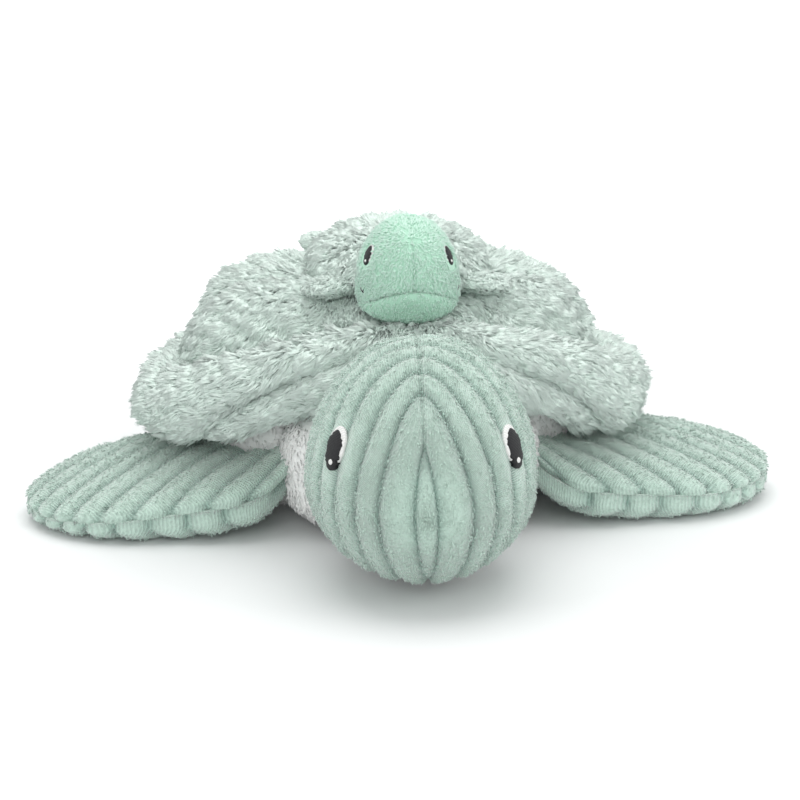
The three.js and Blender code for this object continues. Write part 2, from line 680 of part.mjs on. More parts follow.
function addBabyFlippers() {
  const specs = { front: BABY_FRONT_FLIPPER, rear: BABY_REAR_FLIPPER };
  for (const [end, spec] of Object.entries(specs)) {
    for (const side of [1, -1]) {
      const name = `baby_${end}_flipper_${side > 0 ? 'left' : 'right'}`;
      addPiece(name, babyFlipper(spec, side).subtract(babyBody(-BABY_ROOT_GAP)), SHELL_FUR);
    }
  }
}

function addBaby() {
  const ground = [rimTube(-FIT), domeBlob(-SEAM)];
  const hollows = BABY_NOD.map((nod) => babyHead(FIT, nod));
  const cutters = [...hollows, ...ground];
  const shell = babyBody(0).subtract(babyBody(CLOTH, 20));
  const edge = BABY_SHELL.edge;
  addPiece('baby_shell_cover', without(shell.intersect(above(() => edge + SEAM / 2)), cutters), SHELL_FUR);
  addPiece('baby_belly_panel', without(shell.intersect(below(() => edge - SEAM / 2)), cutters), WHITE_FUR);
  addPiece('baby_stuffing', without(babyBody(CLOTH + SEAM, 20), cutters), FIBRE);
  const pad = solidOf(new THREE.CylinderGeometry(PAD_RADIUS, PAD_RADIUS, 8, 24)
    .rotateX(Math.PI / 2).translate(0, 12, PAD_LEVEL + SEAM + 4));
  addPiece('baby_hook_pad', pad.subtract(babyBody(-SEAM)).intersect(below(() => BABY_SHELL.edge)), PAD_CLOTH);
  addBabyHead(ground);
  addBabyFlippers();
}

addTorso();
addHead();
for (const side of [1, -1]) {
  const name = side > 0 ? 'left' : 'right';
  addFlipper(`front_flipper_${name}`, FRONT_FLIPPER, side);
  addFlipper(`rear_flipper_${name}`, REAR_FLIPPER, side);
}
addPiece('tail', tailSkin(), SAGE_CORD);
addBaby();

export default turtle;
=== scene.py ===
"""A plush sea turtle lying on its belly, with a baby turtle on its shell.

Sizes are in millimetres inside the shapes and become metres when a mesh is made. +Z is up, the
turtle faces -Y and its own left side is +X.
"""

import logging
import math
from dataclasses import dataclass, field, replace
from enum import Enum
from typing import Callable

import bmesh
import bpy
import numpy as np
from mathutils import Matrix, Vector, kdtree


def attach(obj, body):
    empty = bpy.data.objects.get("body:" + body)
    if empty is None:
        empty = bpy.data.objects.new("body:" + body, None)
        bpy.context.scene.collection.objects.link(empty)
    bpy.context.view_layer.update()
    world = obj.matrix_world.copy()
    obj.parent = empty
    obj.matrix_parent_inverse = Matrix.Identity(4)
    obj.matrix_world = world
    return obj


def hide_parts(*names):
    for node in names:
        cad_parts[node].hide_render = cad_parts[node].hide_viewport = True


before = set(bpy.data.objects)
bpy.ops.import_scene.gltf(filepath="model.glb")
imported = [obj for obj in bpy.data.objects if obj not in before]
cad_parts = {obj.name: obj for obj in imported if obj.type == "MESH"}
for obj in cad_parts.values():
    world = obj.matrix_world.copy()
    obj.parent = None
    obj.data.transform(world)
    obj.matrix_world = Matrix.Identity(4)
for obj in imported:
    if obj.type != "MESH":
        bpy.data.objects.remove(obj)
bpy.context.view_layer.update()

MM = 0.001
RING_MIDDLE = 3.0
LUMP_WAVES = 8
LOCK_SIZE = 10.0
CURL_SIZE = 5.0
CURL_HEIGHT = 0.4
LOOSE_GRAIN = 0.14
RIB_ROUNDNESS = (2.3, 0.62)
CLOTH_SHARE = 0.3
FACES_PER_MM = 3.1
LOG = logging.getLogger("turtle")
Shape = Callable[[np.ndarray], np.ndarray]


class Slot(Enum):
    """The record's finishes."""

    SHELL_FUR = "shell_fur"
    SAGE_CORD = "sage_cord"
    WHITE_FUR = "white_fur"
    MINT_VELOUR = "mint_velour"
    BLACK_THREAD = "black_thread"
    WHITE_THREAD = "white_thread"


class Side(Enum):
    """The turtle's own sides, with the sign of X on each."""

    LEFT = 1
    RIGHT = -1

    @property
    def word(self) -> str:
        """The side's name in piece names."""
        return self.name.lower()


# Small helpers on arrays and meshes


def colour(code: str) -> tuple[float, float, float, float]:
    """Turns a screen colour into the shader's linear one.

    Args:
        code: Six hexadecimal digits.

    Returns:
        Red, green, blue and alpha.
    """
    parts = [int(code[i:i + 2], 16) / 255 for i in (0, 2, 4)]
    linear = [c / 12.92 if c <= 0.04045 else ((c + 0.055) / 1.055) ** 2.4 for c in parts]
    return linear[0], linear[1], linear[2], 1.0


def unit(vectors: np.ndarray) -> np.ndarray:
    """Scales each row to length 1."""
    return vectors / np.maximum(np.linalg.norm(vectors, axis=1, keepdims=True), 1e-9)


def bell(distance: np.ndarray, width: float) -> np.ndarray:
    """A bump that is 1 at distance 0 and fades over the width."""
    return np.exp(-((distance / width) ** 2))


def turned(points: np.ndarray, pivot: tuple[float, float], degrees: float) -> np.ndarray:
    """Turns points about an upright axis.

    Args:
        points: Rows of x, y and z.
        pivot: Where the axis stands.
        degrees: The angle, anticlockwise from above.

    Returns:
        The turned points.
    """
    angle = math.radians(degrees)
    out = points.copy()
    x, y = points[:, 0] - pivot[0], points[:, 1] - pivot[1]
    out[:, 0] = pivot[0] + x * math.cos(angle) - y * math.sin(angle)
    out[:, 1] = pivot[1] + x * math.sin(angle) + y * math.cos(angle)
    return out


def lumps(points: np.ndarray, size: float, seed: int) -> np.ndarray:
    """Smooth, repeatable unevenness.

    Args:
        points: Rows of x, y and z.
        size: The usual distance from one lump to the next.
        seed: Which unevenness.

    Returns:
        One value per point, about -1 to 1.
    """
    rng = np.random.default_rng(seed)
    total = np.zeros(len(points))
    for _ in range(LUMP_WAVES):
        wave = rng.normal(size=3)
        wave *= 2 * math.pi / size * rng.uniform(0.6, 1.4) / np.linalg.norm(wave)
        total += np.sin(points @ wave + rng.uniform(0, 2 * math.pi))
    return total / (LUMP_WAVES / 2)


def tufts(points: np.ndarray) -> np.ndarray:
    """The relief of the soft tufts that long fur gathers in, in millimetres."""
    return lumps(points, LOCK_SIZE, 12) + CURL_HEIGHT * lumps(points, CURL_SIZE, 13)


def rounded(share: np.ndarray) -> np.ndarray:
    """The section of a rib over its width from 0 to 1: 1 on its crest and 0 in the furrows."""
    flatness, fullness = RIB_ROUNDNESS
    return (1 - np.abs(2 * share - 1) ** flatness) ** fullness


def finished(bm: bmesh.types.BMesh, name: str, shape: Shape) -> bpy.types.Object:
    """Makes an object of a bmesh whose vertices are moved into a shape.

    Args:
        bm: The bmesh, which is used up.
        name: The piece's name.
        shape: Gives each unit point its place, in millimetres.

    Returns:
        The new object, at the origin, with its faces outwards.
    """
    mesh = bpy.data.meshes.new(name)
    bm.to_mesh(mesh)
    bm.free()
    move_to(mesh, shape(places_of(mesh) * MM))
    outward(mesh)
    mesh.shade_smooth()
    piece = bpy.data.objects.new(name, mesh)
    bpy.context.scene.collection.objects.link(piece)
    return piece


def outward(mesh: bpy.types.Mesh) -> None:
    """Turns a closed mesh the right way round where a mirrored shape left it inside out.

    Args:
        mesh: The mesh, closed.
    """
    mesh.calc_loop_triangles()
    corners = np.empty(len(mesh.loop_triangles) * 3, np.int64)
    mesh.loop_triangles.foreach_get("vertices", corners)
    a, b, c = (places_of(mesh)[corners.reshape(-1, 3)[:, i]] for i in range(3))
    if np.sum(a * np.cross(b, c)) < 0:
        mesh.flip_normals()


def places_of(mesh: bpy.types.Mesh) -> np.ndarray:
    """The places of a mesh's vertices.

    Args:
        mesh: The mesh.

    Returns:
        Rows of x, y and z in millimetres.
    """
    flat = np.empty(len(mesh.vertices) * 3)
    mesh.vertices.foreach_get("co", flat)
    return flat.reshape(-1, 3) / MM


def move_to(mesh: bpy.types.Mesh, places: np.ndarray) -> None:
    """Moves a mesh's vertices to places in millimetres."""
    mesh.vertices.foreach_set("co", (places * MM).ravel())
    mesh.update()


def drawn_in(points: np.ndarray, over: np.ndarray, anchor: tuple[float, float, float],
             anchor_over: float) -> np.ndarray:
    """Closes a round form along a seam: what lies past the seam is drawn in to it.

    Args:
        points: The places on the form.
        over: How far each lies on the kept side, below 0 past the seam.
        anchor: A place well inside the kept side.
        anchor_over: How far the anchor lies on the kept side.

    Returns:
        The places, none of them past the seam.
    """
    share = anchor_over / (anchor_over - np.minimum(over, 0))
    return np.array(anchor) + (points - np.array(anchor)) * share[:, None]


def ball(around: int, rings: int, axis: str = "Z") -> bmesh.types.BMesh:
    """A unit sphere whose poles lie on an axis.

    Args:
        around: Faces round the axis.
        rings: Rows of faces from pole to pole.
        axis: X, Y or Z.

    Returns:
        The bmesh.
    """
    bm = bmesh.new()
    bmesh.ops.create_uvsphere(bm, u_segments=around, v_segments=rings, radius=1.0)
    turn = {"X": ("Y", 90), "Y": ("X", 90), "Z": ("Z", 0)}[axis]
    spin = Matrix.Rotation(math.radians(turn[1]), 3, turn[0])
    bmesh.ops.rotate(bm, verts=bm.verts, cent=(0, 0, 0), matrix=spin)
    return bm


def tyre(around: int, section: int) -> bmesh.types.BMesh:
    """A ring with a section of radius 1, spun round Z.

    Args:
        around: Faces round the ring.
        section: Faces round its section.

    Returns:
        The bmesh.
    """
    bm = bmesh.new()
    made = bmesh.ops.create_circle(bm, segments=section, radius=1.0)
    lay = Matrix.Rotation(math.radians(90), 4, "X")
    bmesh.ops.transform(bm, matrix=Matrix.Translation((RING_MIDDLE, 0, 0)) @ lay, verts=made["verts"])
    bmesh.ops.spin(bm, geom=bm.verts[:] + bm.edges[:], cent=(0, 0, 0), axis=(0, 0, 1),
                   angle=2 * math.pi, steps=around, use_merge=True)
    bmesh.ops.remove_doubles(bm, verts=bm.verts, dist=1e-5)
    return bm


def cut_half(piece: bpy.types.Object, place: Vector, keep: Vector) -> None:
    """Keeps the half of a piece that lies towards a direction, and closes the cut.

    Args:
        piece: The piece.
        place: A point of the cutting plane, in metres.
        keep: The direction that is kept.
    """
    bm = bmesh.new()
    bm.from_mesh(piece.data)
    geometry = bm.verts[:] + bm.edges[:] + bm.faces[:]
    bmesh.ops.bisect_plane(bm, geom=geometry, plane_co=place, plane_no=-keep, clear_outer=True)
    rim = [edge for edge in bm.edges if edge.is_boundary]
    bmesh.ops.holes_fill(bm, edges=rim, sides=0)
    bmesh.ops.triangulate(bm, faces=[face for face in bm.faces if len(face.verts) > 4])
    bm.to_mesh(piece.data)
    bm.free()
    outward(piece.data)
    piece.data.shade_smooth()


def keep_values(piece: bpy.types.Object, values: dict[str, np.ndarray]) -> None:
    """Stores one number per vertex under each name, for the finishes.

    Args:
        piece: The piece.
        values: The numbers by name.
    """
    for name, numbers in values.items():
        layer = piece.data.attributes.new(name, "FLOAT", "POINT")
        layer.data.foreach_set("value", np.asarray(numbers, np.float32))


def dress(piece: bpy.types.Object, finish: bpy.types.Material, body: str,
          nodes: tuple[str, ...] = ()) -> bpy.types.Object:
    """Gives a piece its finish, its body and the solids that it stands for.

    Args:
        piece: The piece.
        finish: Its material.
        body: The body that it rides on.
        nodes: The solids that it stands for.

    Returns:
        The piece.
    """
    piece.data.materials.clear()
    piece.data.materials.append(finish)
    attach(piece, body)
    if nodes:
        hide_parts(*nodes)
    LOG.info("%s: %d faces", piece.name, len(piece.data.polygons))
    return piece


# Finishes


class Nodes:
    """Writes the nodes of one tree."""

    def __init__(self, tree: bpy.types.NodeTree) -> None:
        """Keeps the tree."""
        self.tree = tree

    def add(self, kind: str, settings: dict | None = None, **inputs: object) -> bpy.types.Node:
        """Adds a node.

        Args:
            kind: Its type.
            settings: Its properties.
            inputs: Its inputs by name, underscores for spaces; a socket is linked.

        Returns:
            The node.
        """
        node = self.tree.nodes.new(kind)
        for name, value in (settings or {}).items():
            setattr(node, name, value)
        for name, value in inputs.items():
            self.put(node.inputs[name.replace("_", " ")], value)
        return node

    def put(self, socket: bpy.types.NodeSocket, value: object) -> None:
        """Links or sets one socket.

        Args:
            socket: The socket.
            value: A number or colour, or the socket to link it to.
        """
        if isinstance(value, bpy.types.NodeSocket):
            self.tree.links.new(value, socket)
        else:
            socket.default_value = value

    def read(self, name: str) -> bpy.types.NodeSocket:
        """Reads a number that the mesh keeps."""
        return self.add("ShaderNodeAttribute", {"attribute_name": name}).outputs["Fac"]

    def math(self, action: str, first: object, second: object = 0.0) -> bpy.types.NodeSocket:
        """Works out a number from two.

        Args:
            action: The operation.
            first: A number or socket.
            second: A number or socket.

        Returns:
            The result's socket.
        """
        node = self.tree.nodes.new("ShaderNodeMath")
        node.operation = action
        self.put(node.inputs[0], first)
        self.put(node.inputs[1], second)
        return node.outputs[0]

    def mix(self, share: object, first: object, second: object,
            action: str = "MIX") -> bpy.types.NodeSocket:
        """Mixes two colours.

        Args:
            share: How much of the second.
            first: A colour or socket.
            second: A colour or socket.
            action: The blend type.

        Returns:
            The mixed colour.
        """
        node = self.tree.nodes.new("ShaderNodeMix")
        node.data_type = "RGBA"
        node.blend_type = action
        for socket, value in ((node.inputs[0], share), (node.inputs[6], first), (node.inputs[7], second)):
            self.put(socket, value)
        return node.outputs[2]

    def toned(self, shade: bpy.types.NodeSocket, tone: bpy.types.NodeSocket) -> bpy.types.NodeSocket:
        """Makes a colour darker or paler.

        Args:
            shade: The colour.
            tone: What it is multiplied by.

        Returns:
            The new colour.
        """
        grey = self.add("ShaderNodeCombineColor", Red=tone, Green=tone, Blue=tone)
        return self.mix(1.0, shade, grey.outputs[0], "MULTIPLY")


def mottle_group() -> bpy.types.NodeTree:
    """The soft cloudiness of dyed pile: a value about 0.5, and a fine grain.

    Returns:
        The node group, made once.
    """
    known = bpy.data.node_groups.get("pile_mottle")
    if known:
        return known
    group = bpy.data.node_groups.new("pile_mottle", "ShaderNodeTree")
    group.interface.new_socket("Cloud Scale", in_out="INPUT", socket_type="NodeSocketFloat")
    group.interface.new_socket("Grain Scale", in_out="INPUT", socket_type="NodeSocketFloat")
    group.interface.new_socket("Cloud", in_out="OUTPUT", socket_type="NodeSocketFloat")
    group.interface.new_socket("Grain", in_out="OUTPUT", socket_type="NodeSocketFloat")
    nodes = Nodes(group)
    entry = nodes.add("NodeGroupInput")
    leave = nodes.add("NodeGroupOutput")
    place = nodes.add("ShaderNodeTexCoord").outputs["Object"]
    cloud = nodes.add("ShaderNodeTexNoise", Vector=place, Scale=entry.outputs["Cloud Scale"],
                      Detail=3.0, Roughness=0.5)
    grain = nodes.add("ShaderNodeTexNoise", Vector=place, Scale=entry.outputs["Grain Scale"],
                      Detail=2.0, Roughness=0.6)
    nodes.put(leave.inputs["Cloud"], cloud.outputs[0])
    nodes.put(leave.inputs["Grain"], grain.outputs[0])
    return group


def new_material(name: str) -> tuple[bpy.types.Material, Nodes, bpy.types.Node]:
    """Starts a material.

    Args:
        name: Its name.

    Returns:
        The material, its node writer and its shader.
    """
    material = bpy.data.materials.new(name)
    material.use_nodes = True
    return material, Nodes(material.node_tree), material.node_tree.nodes["Principled BSDF"]


@dataclass(frozen=True)
class CordFinish:
    """Wide-rib chenille: pale crests, furrows painted darker as shade, and a fine grain of tufts."""

    name: str = "sage_chenille_cord"
    crest: str = "bad2c6"
    # The furrow colour is painted shade in the furrows between the ribs.
    furrow: str = "82a297"
    tuft: float = 1.15
    row_drift: float = 3.0
    crest_calm: float = 0.55
    contrast: float = 0.75
    cloudiness: float = 0.24

    def shade(self, nodes: Nodes) -> bpy.types.NodeSocket:
        """The colour from crest to furrow, from the rib value of the mesh: the furrow colour is painted
        shade.
        """
        painted_furrow_shade = nodes.math("POWER", nodes.math("SUBTRACT", 1.0, nodes.read("rib")), 1.5)
        return nodes.mix(painted_furrow_shade, colour(self.crest), colour(self.furrow))

    def material(self) -> bpy.types.Material:
        """Builds the material of the cloth itself.

        Returns:
            The material.
        """
        material, nodes, shader = new_material(self.name)
        mottle = nodes.add("ShaderNodeGroup", {"node_tree": mottle_group()},
                           Cloud_Scale=38.0, Grain_Scale=1000 / self.tuft)
        drift = nodes.math("MULTIPLY", mottle.outputs["Cloud"], self.row_drift)
        along = nodes.math("ADD", nodes.read("thread"), drift)
        wave = nodes.math("SINE", nodes.math("MULTIPLY", along, 2 * math.pi / self.tuft))
        rows = nodes.math("ADD", 0.5, nodes.math("MULTIPLY", wave, 0.5))
        flank = nodes.math("SUBTRACT", 1.0, nodes.math("MULTIPLY", nodes.read("rib"), self.crest_calm))
        flank = nodes.math("MULTIPLY", flank, nodes.read("looped"))
        looped = nodes.math("MULTIPLY", nodes.math("SUBTRACT", rows, 0.5), flank)
        grain = nodes.math("ADD", nodes.math("MULTIPLY", mottle.outputs["Grain"], 0.6),
                           nodes.math("ADD", 0.2, nodes.math("MULTIPLY", looped, 0.5)))
        contrast = nodes.math("MULTIPLY", nodes.math("SUBTRACT", grain, 0.5), self.contrast)
        cloud = nodes.math("MULTIPLY", mottle.outputs["Cloud"], self.cloudiness)
        cloud = nodes.math("ADD", 1.0 - self.cloudiness / 2, cloud)
        tone = nodes.math("MULTIPLY", nodes.math("ADD", 1.0, contrast), cloud)
        nodes.put(shader.inputs["Base Color"], nodes.toned(self.shade(nodes), tone))
        bump = nodes.add("ShaderNodeBump", Height=grain, Strength=0.9, Distance=0.0016)
        nodes.put(shader.inputs["Normal"], bump.outputs[0])
        self.matt(shader)
        return material

    def nap(self) -> bpy.types.Material:
        """Builds the material of the loose ends that stand on the ribs, with the painted furrow shade under
        them and painted shade at their roots.

        Returns:
            The material.
        """
        material, nodes, shader = new_material(self.name + "_nap")
        # Painted shade: the tips are paler than the roots, and each loose end takes the painted furrow
        # shade of the rib under it.
        own = nodes.math("MULTIPLY", nodes.read("tone"), 0.22)
        tip = nodes.math("MULTIPLY", nodes.read("tip"), 0.12)
        tone = nodes.math("ADD", nodes.math("ADD", 0.86, own), tip)
        nodes.put(shader.inputs["Base Color"], nodes.toned(self.shade(nodes), tone))
        self.matt(shader)
        return material

    @staticmethod
    def matt(shader: bpy.types.Node) -> None:
        """Sets the soft, matt surface of the cloth.

        Args:
            shader: The material's shader.
        """
        shader.inputs["Roughness"].default_value = 0.92
        shader.inputs["Specular IOR Level"].default_value = 0.12
        shader.inputs["Sheen Weight"].default_value = 0.75
        shader.inputs["Sheen Roughness"].default_value = 0.5


@dataclass(frozen=True)
class PileFinish:
    """Fur: strands painted darker at the root and paler at the tip, as shade deep in the pile."""

    name: str
    root: str
    tip: str
    spread: float = 0.16
    sheen: float = 0.1
    cloudiness: float = 0.16

    def material(self) -> bpy.types.Material:
        """Builds the material from the tip and tone values of the strands.

        Returns:
            The material.
        """
        material, nodes, shader = new_material(self.name)
        mottle = nodes.add("ShaderNodeGroup", {"node_tree": mottle_group()},
                           Cloud_Scale=30.0, Grain_Scale=700.0)
        # Painted shade: each strand runs from the darker root colour to the paler tip colour.
        shade = nodes.mix(nodes.read("tip"), colour(self.root), colour(self.tip))
        own = nodes.math("MULTIPLY", nodes.math("SUBTRACT", nodes.read("tone"), 0.5), self.spread)
        cloud = nodes.math("SUBTRACT", mottle.outputs["Cloud"], 0.5)
        cloud = nodes.math("MULTIPLY", cloud, self.cloudiness)
        tone = nodes.math("ADD", 1.0, nodes.math("ADD", own, cloud))
        nodes.put(shader.inputs["Base Color"], nodes.toned(shade, tone))
        shader.inputs["Roughness"].default_value = 0.9
        shader.inputs["Specular IOR Level"].default_value = 0.06
        shader.inputs["Sheen Weight"].default_value = self.sheen
        shader.inputs["Sheen Roughness"].default_value = 0.5
        return material


@dataclass(frozen=True)
class GroundFinish:
    """The cloth that pile grows from: felted, mottled and painted darker than the tips, as shade at the
    foot of the pile.
    """

    name: str
    shade: str
    light: str
    bump: float = 0.6

    def material(self) -> bpy.types.Material:
        """Builds the material.

        Returns:
            The material.
        """
        material, nodes, shader = new_material(self.name)
        mottle = nodes.add("ShaderNodeGroup", {"node_tree": mottle_group()},
                           Cloud_Scale=45.0, Grain_Scale=900.0)
        mixed = nodes.math("ADD", nodes.math("MULTIPLY", mottle.outputs["Cloud"], 0.5),
                           nodes.math("MULTIPLY", mottle.outputs["Grain"], 0.5))
        nodes.put(shader.inputs["Base Color"], nodes.mix(mixed, colour(self.shade), colour(self.light)))
        bump = nodes.add("ShaderNodeBump", Height=mottle.outputs["Grain"], Strength=self.bump,
                         Distance=0.001)
        nodes.put(shader.inputs["Normal"], bump.outputs[0])
        shader.inputs["Roughness"].default_value = 0.95
        shader.inputs["Specular IOR Level"].default_value = 0.1
        shader.inputs["Sheen Weight"].default_value = 0.4
        return material


@dataclass(frozen=True)
class ThreadFinish:
    """Satin stitches lying side by side, with painted shade in the gaps between them."""

    name: str
    shade: str
    gap: str
    thickness: float = 0.55

    def material(self) -> bpy.types.Material:
        """Builds the material from the stitch value of the mesh.

        Returns:
            The material.
        """
        material, nodes, shader = new_material(self.name)
        turns = nodes.math("MULTIPLY", nodes.read("stitch"), 2 * math.pi / self.thickness)
        wave = nodes.math("SINE", turns)
        ridge = nodes.math("ADD", nodes.math("MULTIPLY", wave, 0.5), 0.5)
        mottle = nodes.add("ShaderNodeGroup", {"node_tree": mottle_group()},
                           Cloud_Scale=600.0, Grain_Scale=2500.0)
        height = nodes.math("ADD", ridge, nodes.math("MULTIPLY", mottle.outputs["Grain"], 0.5))
        # Painted shade: the gap colour darkens the grooves between the stitches.
        nodes.put(shader.inputs["Base Color"], nodes.mix(ridge, colour(self.gap), colour(self.shade)))
        bump = nodes.add("ShaderNodeBump", Height=height, Strength=0.6, Distance=0.0003)
        nodes.put(shader.inputs["Normal"], bump.outputs[0])
        shader.inputs["Roughness"].default_value = 0.5
        shader.inputs["Specular IOR Level"].default_value = 0.35
        return material


@dataclass
class Finishes:
    """All materials, built once."""

    cord: bpy.types.Material = field(init=False)
    cord_nap: bpy.types.Material = field(init=False)
    long_pile: bpy.types.Material = field(init=False)
    long_ground: bpy.types.Material = field(init=False)
    white_pile: bpy.types.Material = field(init=False)
    white_ground: bpy.types.Material = field(init=False)
    mint_pile: bpy.types.Material = field(init=False)
    mint_ground: bpy.types.Material = field(init=False)
    black_thread: bpy.types.Material = field(init=False)
    white_thread: bpy.types.Material = field(init=False)
    pad: bpy.types.Material = field(init=False)

    def __post_init__(self) -> None:
        """Builds each finish."""
        self.cord = CordFinish().material()
        self.cord_nap = CordFinish().nap()
        # Each pile's root colour is painted shade deep in the fur; its tip colour is the paler colour of
        # the ends.
        self.long_pile = PileFinish("grey_green_long_pile", "ddece4", "e7f5ee", 0.05, 0.15).material()
        self.long_ground = GroundFinish("grey_green_ground", "dbeae3", "e8f3ee", 0.4).material()
        self.white_pile = PileFinish("white_short_pile", "f3f4f2", "fefefd", 0.04).material()
        self.white_ground = GroundFinish("white_ground", "eff1ef", "fafbfa", 0.25).material()
        self.mint_pile = PileFinish("mint_velour_pile", "a4d9bd", "dcf1e8", 0.1, 0.2).material()
        self.mint_ground = GroundFinish("mint_velour_ground", "9ed3b7", "c8e9d8").material()
        self.black_thread = ThreadFinish("black_satin_thread", "1d1e22", "08080a").material()
        self.white_thread = ThreadFinish("white_satin_thread", "f7f7f5", "d9dad8").material()
        self.pad = GroundFinish("loop_tape", "c9d0cd", "e3e7e5", 0.9).material()


# Fur


def marks_of(mesh: bpy.types.Mesh, name: str) -> np.ndarray:
    """Reads what a mesh keeps under a name.

    Args:
        mesh: The mesh.
        name: The name.

    Returns:
        One number per vertex.
    """
    numbers = np.empty(len(mesh.vertices), np.float32)
    mesh.attributes[name].data.foreach_get("value", numbers)
    return numbers


@dataclass
class Roots:
    """Where strands stand: their places, the outward ways and what the cloth keeps there."""

    places: np.ndarray
    ways: np.ndarray
    marks: dict[str, np.ndarray]


